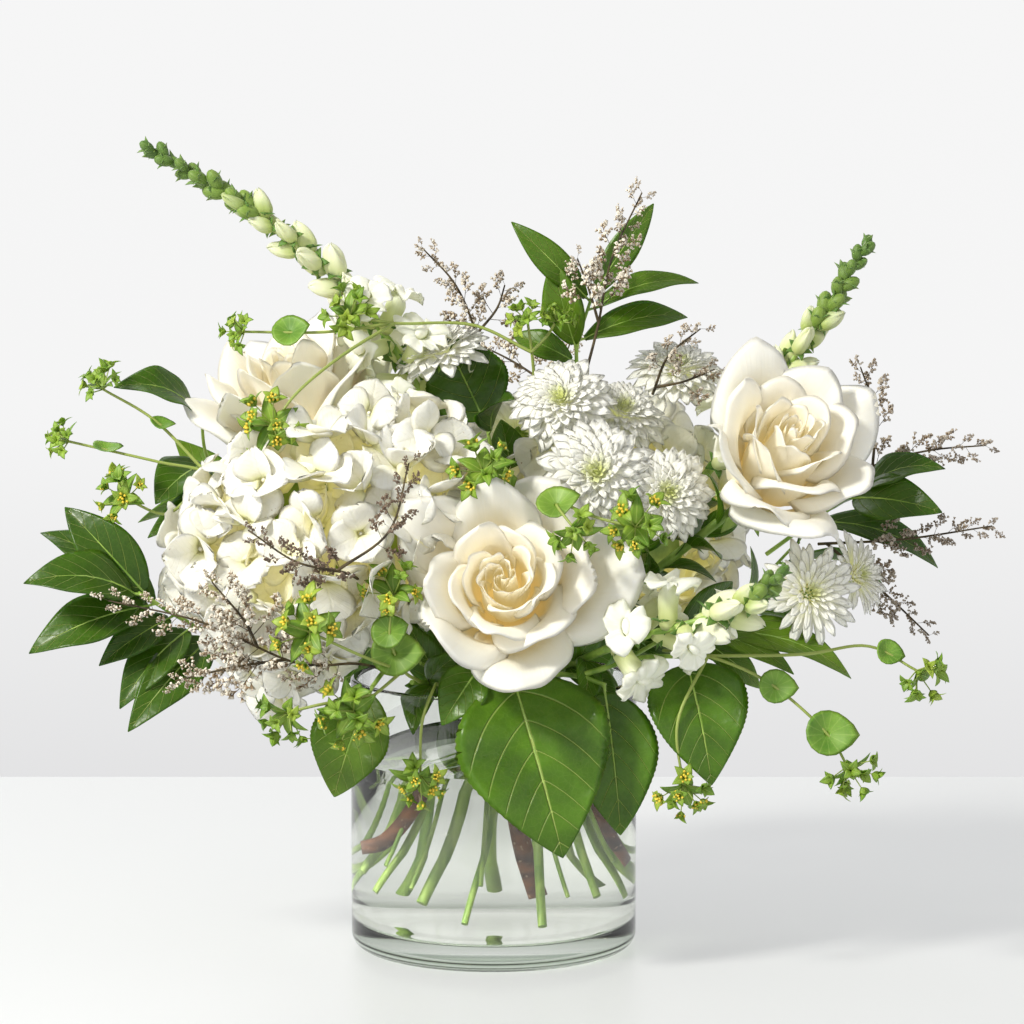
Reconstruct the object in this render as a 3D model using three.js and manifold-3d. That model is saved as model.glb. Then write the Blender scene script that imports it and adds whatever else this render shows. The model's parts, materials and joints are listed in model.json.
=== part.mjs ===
// A floral table centerpiece: cream roses, hydrangea, cushion mums, snapdragons, bupleurum,
// sea lavender and leafy greens, standing in water in a clear glass cylinder vase.
// Millimetres, +Z up, origin at the middle of the vase's flat foot, front of the bouquet at -Y.

import * as THREE from 'three';
import { mergeVertices } from 'three/addons/utils/BufferGeometryUtils.js';
import Module from 'manifold-3d';

const wasm = await Module();
wasm.setup();

// ---------------------------------------------------------------- driving dimensions

const VASE_DIAMETER = 152.4;
const VASE_HEIGHT = 145;
const VASE_WALL = 4;
const VASE_FLOOR = 13;
const VASE_FOOT_ROUND = 8;
const VASE_SEGMENTS = 36;
const WATER_LEVEL = 101.5;
const GAP = 0.3;
const CLEARANCE = 0.5;
const CROSSING = [2, -4, 120];
const CROSSING_RING = 9.5;
const WELD = 1e-4;
const PETAL_THICKNESS = 1.3;
const LEAF_THICKNESS = 1.5;
const LONG_LEAF = 84;
const TWIG_RADIUS = 0.9;
const STEM_SIDES = 5;
const STEM_STEPS = 4;
const TWIG_SIDES = 4;
const GOLDEN_ANGLE = Math.PI * (3 - Math.sqrt(5));

// ---------------------------------------------------------------- materials

const finish = (color, roughness, extra = {}) =>
  new THREE.MeshStandardMaterial({ color, roughness, metalness: 0, ...extra });

const MATERIALS = {
  glass: finish(0xe4efe9, 0.03, { transparent: true, opacity: 0.35 }),
  water: finish(0xdfeae6, 0.03, { transparent: true, opacity: 0.4 }),
  stem: finish(0x6f9440, 0.5),
  wood: finish(0x6d5340, 0.7),
  rose: finish(0xf6ecd6, 0.6),
  hydrangea: finish(0xf1efdc, 0.65),
  mum: finish(0xf4f5ea, 0.6),
  snapdragon: finish(0xd9e3ad, 0.55),
  bupleurum: finish(0x9fb33c, 0.55),
  lavender: finish(0xa08f7c, 0.8),
  leaf: finish(0x3f6f26, 0.4),
  leafDark: finish(0x2f5a22, 0.4),
};

// ---------------------------------------------------------------- vectors and chance

const vec = (p) => new THREE.Vector3(p[0], p[1], p[2]);
const mix = (a, b, t) => a + (b - a) * t;

function chance(seed) {
  let state = seed >>> 0;
  return () => {
    state = (state + 0x6d2b79f5) >>> 0;
    let t = Math.imul(state ^ (state >>> 15), 1 | state);
    t = (t + Math.imul(t ^ (t >>> 7), 61 | t)) ^ t;
    return ((t ^ (t >>> 14)) >>> 0) / 4294967296;
  };
}

// A frame at a place whose +Z looks along facing, turned about it by twist.
function frameAt(place, facing, twist = 0) {
  const ahead = vec(facing).normalize();
  const turn = new THREE.Quaternion().setFromUnitVectors(new THREE.Vector3(0, 0, 1), ahead);
  const spin = new THREE.Quaternion().setFromAxisAngle(new THREE.Vector3(0, 0, 1), twist);
  return new THREE.Matrix4().compose(vec(place), turn.multiply(spin), new THREE.Vector3(1, 1, 1));
}

// ---------------------------------------------------------------- solids

// A closed geometry as a solid, its shared corners merged and its empty triangles dropped.
function solidFrom(geometry) {
  const bare = new THREE.BufferGeometry();
  bare.setAttribute('position', geometry.getAttribute('position').clone());
  if (geometry.index) bare.setIndex(geometry.index);
  const merged = mergeVertices(bare, WELD);
  const corners = merged.index.array;
  const kept = [];
  for (let i = 0; i < corners.length; i += 3) {
    const [a, b, c] = [corners[i], corners[i + 1], corners[i + 2]];
    if (a !== b && b !== c && c !== a) kept.push(a, b, c);
  }
  return new wasm.Manifold(new wasm.Mesh({
    numProp: 3,
    vertProperties: Float32Array.from(merged.getAttribute('position').array),
    triVerts: Uint32Array.from(kept),
  }));
}

const placed = (geometry, matrix) => solidFrom(geometry.applyMatrix4(matrix));
const joined = (solids) => wasm.Manifold.union(solids);

// The biggest single body of a solid: what a neighbour cuts loose falls away.
function biggest(solid) {
  const bodies = solid.decompose();
  return bodies.reduce((best, body) => (body.volume() > best.volume() ? body : best));
}

function geometryOf(solid) {
  const mesh = solid.getMesh();
  const geometry = new THREE.BufferGeometry();
  geometry.setAttribute('position', new THREE.BufferAttribute(mesh.vertProperties, 3));
  geometry.setIndex(new THREE.BufferAttribute(mesh.triVerts, 1));
  geometry.computeVertexNormals();
  return geometry;
}

const twigSteps = (route) => Math.max(2, route.length - 1);
const pathOf = (route) => new THREE.CatmullRomCurve3(route.map(vec), false, 'centripetal');

// The place at a share of a tube's length, on the straight steps that it is drawn with.
function spotOn(route, steps, share) {
  const path = pathOf(route);
  const step = Math.min(steps - 1, Math.floor(share * steps));
  const from = path.getPointAt(step / steps);
  return from.lerp(path.getPointAt((step + 1) / steps), share * steps - step);
}

// A tube of few sides through a list of points. grow thickens it and lengthens its ends.
function tube(points, radius, sides, steps, grow = 0) {
  const route = points.map((p) => (p.isVector3 ? p.clone() : vec(p)));
  const last = route.length - 1;
  const head = route[0].clone().sub(route[1]).normalize();
  const tail = route[last].clone().sub(route[last - 1]).normalize();
  route[0].addScaledVector(head, grow);
  route[last].addScaledVector(tail, grow);
  const reach = radius + grow / Math.cos(Math.PI / sides);
  const ring = [];
  for (let i = 0; i < sides; i += 1) {
    const a = (i / sides) * 2 * Math.PI;
    ring.push(new THREE.Vector2(reach * Math.cos(a), reach * Math.sin(a)));
  }
  const path = new THREE.CatmullRomCurve3(route, false, 'centripetal');
  return solidFrom(new THREE.ExtrudeGeometry(new THREE.Shape(ring), { steps, extrudePath: path }));
}

// A rounded lump with few facets, as long as its half sizes say.
function lump(halfSizes, around, along, grow = 0) {
  const geometry = new THREE.SphereGeometry(1, around, along).rotateX(Math.PI / 2);
  return geometry.scale(halfSizes[0] + grow, halfSizes[1] + grow, halfSizes[2] + grow);
}

// Two fans that share a rim: an upper peak and a lower peak over one outline round the Z axis.
function fanned(outline, peak, root, grow = 0) {
  const positions = [];
  const rims = outline.map((p) => {
    const out = Math.hypot(p[0], p[1]);
    const push = 1 + grow / out;
    return [p[0] * push, p[1] * push, p[2]];
  });
  rims.forEach((p, i) => {
    const q = rims[(i + 1) % rims.length];
    const upper = [[p[0], p[1], p[2] + grow], [q[0], q[1], q[2] + grow]];
    const lower = [[p[0], p[1], p[2] - grow], [q[0], q[1], q[2] - grow]];
    positions.push(...upper[0], ...upper[1], 0, 0, peak + grow);
    positions.push(...lower[1], ...lower[0], 0, 0, root - grow);
    positions.push(...lower[0], ...lower[1], ...upper[1]);
    positions.push(...lower[0], ...upper[1], ...upper[0]);
  });
  const geometry = new THREE.BufferGeometry();
  geometry.setAttribute('position', new THREE.Float32BufferAttribute(positions, 3));
  return geometry;
}

// A curved sheet with two faces split alike: thick at its root and middle, fine at its free rim.
function sheet(pointAt, columns, rows, thickness, grow = 0) {
  const nudge = 0.01;
  const faces = [[], []];
  for (let j = 0; j <= rows; j += 1) {
    for (let i = 0; i <= columns; i += 1) {
      const [u, v] = [i / columns, j / rows];
      const across = pointAt(u + nudge, v).sub(pointAt(u - nudge, v)).normalize();
      const along = pointAt(u, Math.min(1, v + nudge)).sub(pointAt(u, Math.max(0, v - nudge))).normalize();
      const normal = across.clone().cross(along).normalize();
      const edgeU = i === 0 ? -1 : Number(i === columns);
      const edgeV = j === 0 ? -1 : Number(j === rows);
      const fine = edgeV > 0 || (edgeU !== 0 && j > 0);
      const half = (fine ? 0 : thickness / 2) + grow;
      const middle = pointAt(u, v).addScaledVector(across, edgeU * grow);
      middle.addScaledVector(along, edgeV * grow);
      faces[0].push(middle.clone().addScaledVector(normal, half));
      faces[1].push(middle.clone().addScaledVector(normal, -half));
    }
  }
  return stitched(faces, columns, rows);
}

function stitched(faces, columns, rows) {
  const positions = [];
  const wide = columns + 1;
  const triangle = (a, b, c) => positions.push(...a.toArray(), ...b.toArray(), ...c.toArray());
  const [upper, lower] = faces;
  for (let j = 0; j < rows; j += 1) {
    for (let i = 0; i < columns; i += 1) {
      const [a, b] = [j * wide + i, j * wide + i + 1];
      const [c, d] = [a + wide, b + wide];
      triangle(upper[a], upper[b], upper[d]);
      triangle(upper[a], upper[d], upper[c]);
      triangle(lower[b], lower[a], lower[d]);
      triangle(lower[d], lower[a], lower[c]);
    }
  }
  const wall = (a, b) => {
    triangle(lower[a], lower[b], upper[b]);
    triangle(lower[a], upper[b], upper[a]);
  };
  for (let i = 0; i < columns; i += 1) {
    wall(i, i + 1);
    wall(rows * wide + i + 1, rows * wide + i);
  }
  for (let j = 0; j < rows; j += 1) {
    wall((j + 1) * wide, j * wide);
    wall(j * wide + columns, (j + 1) * wide + columns);
  }
  const geometry = new THREE.BufferGeometry();
  geometry.setAttribute('position', new THREE.Float32BufferAttribute(positions, 3));
  return geometry;
}

// ---------------------------------------------------------------- vase and water

function arcPoints(centre, radius, from, to, count) {
  const points = [];
  for (let i = 0; i <= count; i += 1) {
    const a = mix(from, to, i / count);
    points.push([centre[0] + radius * Math.cos(a), centre[1] + radius * Math.sin(a)]);
  }
  return points;
}

function turned(profile) {
  const points = profile.map(([r, z]) => new THREE.Vector2(r, z));
  return new THREE.LatheGeometry(points, VASE_SEGMENTS).rotateX(Math.PI / 2);
}

function buildVase() {
  const outer = VASE_DIAMETER / 2;
  const inner = outer - VASE_WALL;
  const lip = VASE_WALL / 2;
  return solidFrom(turned([
    [0, 0],
    ...arcPoints([outer - VASE_FOOT_ROUND, VASE_FOOT_ROUND], VASE_FOOT_ROUND, -Math.PI / 2, 0, 2),
    ...arcPoints([outer - lip, VASE_HEIGHT - lip], lip, 0, Math.PI, 1),
    [inner, VASE_FLOOR + 4],
    [inner - 4, VASE_FLOOR],
    [0, VASE_FLOOR],
  ]));
}

function buildWater() {
  const radius = VASE_DIAMETER / 2 - VASE_WALL - GAP;
  return solidFrom(turned([
    [0, VASE_FLOOR + GAP],
    [radius - 4, VASE_FLOOR + GAP],
    [radius, VASE_FLOOR + 4 + GAP],
    [radius, WATER_LEVEL],
    [0, WATER_LEVEL],
  ]));
}

// ---------------------------------------------------------------- roses

// One petal in the bloom's frame: v runs from the root to the lip, u across it.
function petalPoint(petal, u, v) {
  const s = 2 * u - 1;
  const open = petal.reach * Math.sin((Math.PI / 2) * Math.min(1, 0.12 + v * 1.05)) ** 1.1;
  const rolled = petal.roll * Math.max(0, v - 0.6) ** 2;
  const width = Math.sin(Math.PI * Math.min(0.5, 0.14 + v * 0.45)) * (1 - 0.25 * v ** 4);
  const radius = open + rolled + petal.tuck * s * v;
  const angle = petal.angle + s * petal.wrap * width;
  const dip = petal.height * (0.2 * s * s * v ** 2 - petal.point * (1 - Math.abs(s)) * v ** 3);
  const rise = petal.height * v ** 1.15 - dip - 0.55 * rolled;
  return new THREE.Vector3(radius * Math.cos(angle), radius * Math.sin(angle), rise);
}

// Whorls from the closed heart outward, as shares of the bloom's radius.
const ROSE_WHORLS = [
  { count: 2, reach: 0.26, height: 1.04, wrap: 1.2, roll: 0.15, tuck: 0.06, point: 0, rows: 2 },
  { count: 3, reach: 0.54, height: 0.92, wrap: 1.25, roll: 0.9, tuck: 0.06, point: 0.03, rows: 2 },
  { count: 5, reach: 0.84, height: 0.66, wrap: 0.8, roll: 1.1, tuck: 0.06, point: 0.1, rows: 3 },
];

function buildRose(rose, grow) {
  const random = chance(rose.seed);
  const size = rose.radius;
  const matrix = frameAt(rose.heart, rose.facing, rose.twist);
  const solids = [placed(lump([size * 0.24, size * 0.24, size * 0.2], 5, 3, grow), matrix)];
  ROSE_WHORLS.forEach((whorl, ring) => {
    for (let i = 0; i < whorl.count; i += 1) {
      const petal = {
        angle: ((i + 0.5 * ring) / whorl.count) * 2 * Math.PI + mix(-0.12, 0.12, random()),
        reach: whorl.reach * size * mix(0.95, 1.05, random()),
        height: whorl.height * size * mix(0.95, 1.04, random()),
        wrap: whorl.wrap,
        roll: whorl.roll * size,
        tuck: whorl.tuck * size,
        point: whorl.point,
      };
      const shape = sheet((u, v) => petalPoint(petal, u, v), 3, whorl.rows, PETAL_THICKNESS, grow);
      solids.push(placed(shape, matrix));
    }
  });
  return joined(solids);
}

// ---------------------------------------------------------------- hydrangeas

// Four broad sepals round the Z axis, each drawn to a short point.
function sepalOutline(radius, random) {
  const outline = [];
  for (let lobe = 0; lobe < 4; lobe += 1) {
    const turn = (lobe / 4) * 2 * Math.PI;
    const lift = mix(-0.08, 0.14, random()) * radius;
    outline.push([turn, 1.04, lift], [turn + Math.PI / 4, 0.62, -1]);
  }
  return outline.map(([a, share, z]) => [radius * share * Math.cos(a), radius * share * Math.sin(a), z]);
}

// Heights on a flattened unit dome, from its top down, that share its surface evenly.
function evenHeights(count, flatness, cover) {
  const slices = 200;
  const areas = [0];
  for (let i = 0; i < slices; i += 1) {
    const z = 1 - ((i + 0.5) / slices) * cover;
    areas.push(areas[i] + Math.sqrt(z * z + flatness * flatness * (1 - z * z)));
  }
  const heights = [];
  for (let i = 0; i < count; i += 1) {
    const wanted = ((i + 0.5) / count) * areas[slices];
    heights.push(1 - (areas.findIndex((area) => area >= wanted) / slices) * cover);
  }
  return heights;
}

function buildHydrangea(head, grow) {
  const random = chance(head.seed);
  const matrix = frameAt(head.centre, head.facing);
  const core = head.half.map((h) => h - head.floret * 0.6);
  const solids = [placed(lump(core, 8, 5, grow), matrix)];
  evenHeights(head.count, head.half[2] / head.half[0], head.cover).forEach((z, i) => {
    const a = i * GOLDEN_ANGLE;
    const ring = Math.sqrt(1 - z * z);
    const unit = [ring * Math.cos(a), ring * Math.sin(a), z];
    const sunk = head.floret * mix(0.1, 0.3, random());
    const place = unit.map((n, axis) => n * (head.half[axis] - sunk));
    const facing = unit.map((n, axis) => n / head.half[axis] + mix(-0.002, 0.002, random()));
    const floret = fanned(sepalOutline(head.floret, random), 0.6, -head.floret * 0.95, grow);
    const local = frameAt(place, facing, random() * Math.PI);
    const middle = vec(place).applyMatrix4(matrix);
    const crowded = head.beside.some(([x, y, z, reach]) => middle.distanceTo(vec([x, y, z])) < reach);
    if (!crowded) solids.push(placed(floret, matrix.clone().multiply(local)));
  });
  return joined(solids);
}

// ---------------------------------------------------------------- mums

// Tips and clefts of the ray layers from the skirt up, as shares of the bloom's radius.
const MUM_RINGS = [
  { tip: 1, rise: 0.06, cleft: 0.66, cleftRise: 0.1, turn: 0 },
  { tip: 0.52, rise: 0.22, cleft: 0.52, cleftRise: 0.22, turn: 0.5 },
  { tip: 0.74, rise: 0.46, cleft: 0.4, cleftRise: 0.4, turn: 0.5 },
];
const MUM_RAYS = 10;

// Closed rings of tips and clefts stacked round the Z axis, from a root up to a crown.
function stacked(rings, rays, root, crown, grow) {
  const rows = rings.map((ring, k) => {
    const row = [];
    const lift = k === rings.length - 1 ? grow : 0;
    for (let i = 0; i < 2 * rays; i += 1) {
      const atTip = (i % 2 === 0) === (ring.turn === 0);
      const out = (atTip ? ring.tip : ring.cleft) + 1.4 * grow;
      const a = (i / rays) * Math.PI;
      row.push([out * Math.cos(a), out * Math.sin(a), lift + (atTip ? ring.rise : ring.cleftRise)]);
    }
    return row;
  });
  const positions = [];
  for (let i = 0; i < 2 * rays; i += 1) {
    const j = (i + 1) % (2 * rays);
    positions.push(...rows[0][j], ...rows[0][i], 0, 0, root - grow);
    for (let k = 0; k + 1 < rows.length; k += 1) {
      positions.push(...rows[k][i], ...rows[k][j], ...rows[k + 1][j]);
      positions.push(...rows[k][i], ...rows[k + 1][j], ...rows[k + 1][i]);
    }
    positions.push(...rows.at(-1)[i], ...rows.at(-1)[j], 0, 0, crown + grow);
  }
  const geometry = new THREE.BufferGeometry();
  geometry.setAttribute('position', new THREE.Float32BufferAttribute(positions, 3));
  return geometry;
}

function buildMum(mum, grow) {
  const size = mum.radius;
  const rings = MUM_RINGS.map((ring) => ({
    tip: ring.tip * size,
    rise: ring.rise * size,
    cleft: ring.cleft * size,
    cleftRise: ring.cleftRise * size,
    turn: ring.turn,
  }));
  const matrix = frameAt(mum.heart, mum.facing, mum.twist);
  return placed(stacked(rings, MUM_RAYS, -size * 0.25, size * 0.5, grow), matrix);
}

// ---------------------------------------------------------------- snapdragons

// Pods sit round the spine on a golden angle: closed and small at the tip, open lower down.
function buildSnapdragon(spike, grow) {
  const random = chance(spike.seed);
  const solids = [tube(spike.spine, 1.9, STEM_SIDES, spike.spine.length, grow)];
  for (let i = 0; i < spike.buds; i += 1) {
    const t = 0.02 + (i / spike.buds) ** 0.92 * spike.budShare;
    solids.push(pod(spike.spine, t, i, mix(4.2, 8.5, i / spike.buds), random, grow));
  }
  for (let i = 0; i < spike.florets; i += 1) {
    const t = mix(spike.budShare, spike.bloomShare, (i + 0.6) / spike.florets);
    solids.push(trumpet(spike.spine, t, i, mix(15, 20, i / spike.florets), random, grow));
  }
  return joined(solids);
}

function aroundStem(route, t, index, lean) {
  const ahead = pathOf(route).getTangentAt(t).negate();
  const side = new THREE.Vector3(0, 0, 1).cross(ahead).normalize();
  const up = ahead.clone().cross(side);
  const a = index * GOLDEN_ANGLE;
  const out = side.multiplyScalar(Math.cos(a)).addScaledVector(up, Math.sin(a));
  return out.addScaledVector(ahead, lean).normalize();
}

// A slim solid that starts as a point, swells to a few sides and ends as a point.
function spindle(root, tip, radius, sides, belly, grow) {
  const length = root.distanceTo(tip);
  const outline = [];
  for (let i = 0; i < sides; i += 1) {
    const a = (i / sides) * 2 * Math.PI;
    outline.push([radius * Math.cos(a), radius * Math.sin(a), length * belly]);
  }
  const facing = tip.clone().sub(root).toArray();
  return placed(fanned(outline, length, 0, grow), frameAt(root.toArray(), facing));
}

function pod(spine, t, index, length, random, grow) {
  const out = aroundStem(spine, t, index, 0.9 + 0.3 * random());
  const root = spotOn(spine, spine.length, t);
  return spindle(root, root.clone().addScaledVector(out, 2.3 * length), length * 0.55, 4, 0.6, grow);
}

function trumpet(spine, t, index, length, random, grow) {
  const out = aroundStem(spine, t, index, 0.35);
  const root = spotOn(spine, spine.length, t);
  const outline = [];
  for (let lobe = 0; lobe < 4; lobe += 1) {
    const a = (lobe / 4) * 2 * Math.PI;
    const spread = length * mix(0.62, 0.78, random());
    outline.push([spread * Math.cos(a - 0.45), spread * Math.sin(a - 0.45), length * 0.98]);
    outline.push([spread * Math.cos(a + 0.45), spread * Math.sin(a + 0.45), length * 1.02]);
    outline.push([spread * 0.55 * Math.cos(a + 0.79), spread * 0.55 * Math.sin(a + 0.79), length * 0.8]);
  }
  const shape = fanned(outline, length * 0.55, -1, grow);
  return placed(shape, frameAt(root.toArray(), out.toArray(), random() * 2));
}

// ---------------------------------------------------------------- bupleurum

// One umbel: five pointed bracts, every other one raised, round a peak of small flowers.
function umbel(place, facing, size, twist, grow) {
  const matrix = frameAt(place, facing, twist);
  const outline = [];
  for (let i = 0; i < 10; i += 1) {
    const a = (i / 10) * 2 * Math.PI;
    const reach = size * (i % 2 === 0 ? 1 : 0.36);
    const rise = size * [0.15, 0.05, 0.45, 0.05][i % 4];
    outline.push([reach * Math.cos(a), reach * Math.sin(a), rise]);
  }
  return placed(fanned(outline, size * 0.4, -size * 0.2, grow), matrix);
}

function roundLeaf(place, facing, size, grow) {
  const outline = [];
  for (let i = 0; i < 7; i += 1) {
    const a = (i / 7) * 2 * Math.PI;
    const share = i === 0 ? 1.3 : 1;
    outline.push([size * share * Math.cos(a), size * share * Math.sin(a), size * 0.12]);
  }
  return placed(fanned(outline, 0.6, -1.2, grow), frameAt(place, facing));
}

function buildBupleurum(spray, grow) {
  const solids = [];
  spray.stems.forEach((stem, i) => {
    const { route } = stem;
    solids.push(tube(route, TWIG_RADIUS, 3, twigSteps(route), grow));
    solids.push(umbel(route.at(-1), stem.umbel, stem.size, i, grow));
    (stem.rounds ?? []).forEach(([share, facing, size]) => {
      solids.push(roundLeaf(spotOn(route, twigSteps(route), share).toArray(), facing, size, grow));
    });
  });
  return joined(solids);
}

// ---------------------------------------------------------------- sea lavender

// A side twig's first entry is a share of the main twig, and starts there.
function rooted(twigs) {
  const main = twigs[0];
  return twigs.map(([start, ...rest]) => (
    typeof start === 'number' ? [spotOn(main, twigSteps(main), start).toArray(), ...rest] : [start, ...rest]));
}

function buildLavender(spray, grow) {
  const random = chance(spray.seed);
  const solids = [];
  rooted(spray.twigs).forEach((twig) => {
    solids.push(tube(twig, TWIG_RADIUS, 3, twigSteps(twig), grow));
    const ends = Math.round(pathOf(twig).getLength() / spray.spacing);
    for (let i = 0; i <= ends; i += 1) {
      const t = mix(spray.bare, 0.97, i / ends);
      const reach = spray.reach * mix(1, 0.55, i / ends) * mix(0.75, 1.15, random());
      const out = aroundStem(twig, t, i, -1.3).multiplyScalar(reach);
      const root = spotOn(twig, twigSteps(twig), t);
      solids.push(spindle(root, root.clone().add(out), 2.3, 3, 0.7, grow));
    }
  });
  return joined(solids);
}

// ---------------------------------------------------------------- leaves

// One blade: v runs from its base to its tip, u across it, folded a little along the rib.
function bladePoint(blade, u, v) {
  const s = 2 * u - 1;
  const swell = Math.abs(Math.sin(Math.PI * v ** blade.belly)) ** 0.9;
  const half = 1.4 * (1 - v) + 0.3 + (blade.width / 2) * swell;
  const lift = blade.arch * 4 * v * (1 - v) + blade.fold * Math.abs(s) * half;
  const point = blade.base.clone().addScaledVector(blade.along, v);
  point.addScaledVector(blade.side, s * half);
  return point.addScaledVector(blade.up, lift);
}

function buildBlade(leaf, base, grow) {
  const along = vec(leaf.tip).sub(base);
  const side = along.clone().cross(vec(leaf.up)).normalize();
  const up = side.clone().cross(along).normalize();
  const blade = {
    base, along, side, up,
    width: leaf.width,
    belly: leaf.belly ?? 0.85,
    arch: (leaf.arch ?? 0.1) * along.length(),
    fold: leaf.fold ?? 0.25,
  };
  const rows = along.length() > LONG_LEAF ? 5 : 3;
  return solidFrom(sheet((u, v) => bladePoint(blade, u, v), 2, rows, LEAF_THICKNESS, grow));
}

function buildLeafyStem(stem, grow) {
  const solids = stem.twigs.map((twig) => tube(twig, stem.radius ?? 1.2, 3, twigSteps(twig), grow));
  stem.leaves.forEach((leaf) => {
    const twig = stem.twigs[leaf.on[0]];
    const base = spotOn(twig, twigSteps(twig), leaf.on[1]);
    solids.push(buildBlade(leaf, base, grow));
  });
  return joined(solids);
}

// ---------------------------------------------------------------- where things stand

const ROSES = [
  { name: 'rose_front', heart: [6, -56, 192], facing: [-0.03, -0.93, 0.36], radius: 55, twist: 0.5, seed: 3 },
  { name: 'rose_right', heart: [140, -26, 250], facing: [0.26, -0.74, 0.6], radius: 52, twist: 0.1, seed: 7 },
  { name: 'rose_left', heart: [-97, 20, 262], facing: [-0.25, -0.25, 0.93], radius: 48, twist: 0.9, seed: 12 },
  { name: 'rose_back', heart: [-46, 72, 224], facing: [-0.3, 0.82, 0.5], radius: 50, twist: 0.3, seed: 21 },
];

const HYDRANGEAS = [
  {
    name: 'hydrangea_left', centre: [-87, -46, 232], facing: [-0.25, -0.8, 0.5],
    half: [77, 63, 50], floret: 22, count: 15, cover: 1.5, seed: 5,
    beside: [[6, -80, 202, 56], [-104, 16, 292, 46], [-30, -30, 250, 20]],
  },
  {
    name: 'hydrangea_back', centre: [72, 66, 226], facing: [0.45, 0.75, 0.5],
    half: [66, 62, 46], floret: 22, count: 11, cover: 1.45, seed: 9,
    beside: [[-46, 95, 238, 50], [12, 92, 266, 26]],
  },
];

const MUMS = [
  { name: 'mum_01', heart: [36, -34, 292], facing: [-0.1, -0.8, 0.6], radius: 25, twist: 0.7 },
  { name: 'mum_02', heart: [66, -14, 284], facing: [0.25, -0.6, 0.75], radius: 23, twist: 1.4 },
  { name: 'mum_03', heart: [53, -62, 258], facing: [0, -0.93, 0.36], radius: 28, twist: 2.1 },
  { name: 'mum_04', heart: [88, -58, 248], facing: [0.25, -0.9, 0.3], radius: 24, twist: 2.8 },
  { name: 'mum_05', heart: [98, 28, 302], facing: [0.1, -0.45, 0.9], radius: 25, twist: 0.5 },
  { name: 'mum_06', heart: [-27, 10, 314], facing: [-0.3, -0.35, 0.9], radius: 25, twist: 1.2 },
  { name: 'mum_07', heart: [163, -54, 196], facing: [0.3, -0.9, 0.3], radius: 26, twist: 2.6 },
  { name: 'mum_08', heart: [188, -30, 202], facing: [0.75, -0.55, 0.35], radius: 22, twist: 0.3 },
  { name: 'mum_09', heart: [-24, -46, 242], facing: [-0.2, -0.7, 0.68], radius: 17, twist: 1.0 },
  { name: 'mum_10', heart: [12, 92, 266], facing: [0.05, 0.7, 0.7], radius: 26, twist: 1.7 },
  { name: 'mum_11', heart: [6, 112, 208], facing: [0.1, 0.95, 0.2], radius: 25, twist: 2.4 },
];

const SNAPDRAGONS = [
  {
    name: 'snapdragon_upper_left', seed: 31, buds: 9, florets: 5, budShare: 0.62, bloomShare: 0.9,
    spine: [[-178, -8, 424], [-154, -6, 410], [-122, -4, 389], [-96, 2, 368], [-72, 8, 344],
      [-48, 10, 312], [-30, 8, 276]],
  },
  {
    name: 'snapdragon_upper_right', seed: 32, buds: 8, florets: 3, budShare: 0.5, bloomShare: 0.8,
    spine: [[197, 22, 372], [181, 22, 344], [163, 20, 318], [140, 18, 284], [112, 14, 250]],
  },
  {
    name: 'snapdragon_front_right', seed: 33, buds: 7, florets: 3, budShare: 0.5, bloomShare: 0.9,
    spine: [[142, -122, 214], [126, -116, 199], [104, -106, 190], [82, -96, 182], [58, -78, 171]],
  },
];

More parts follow.
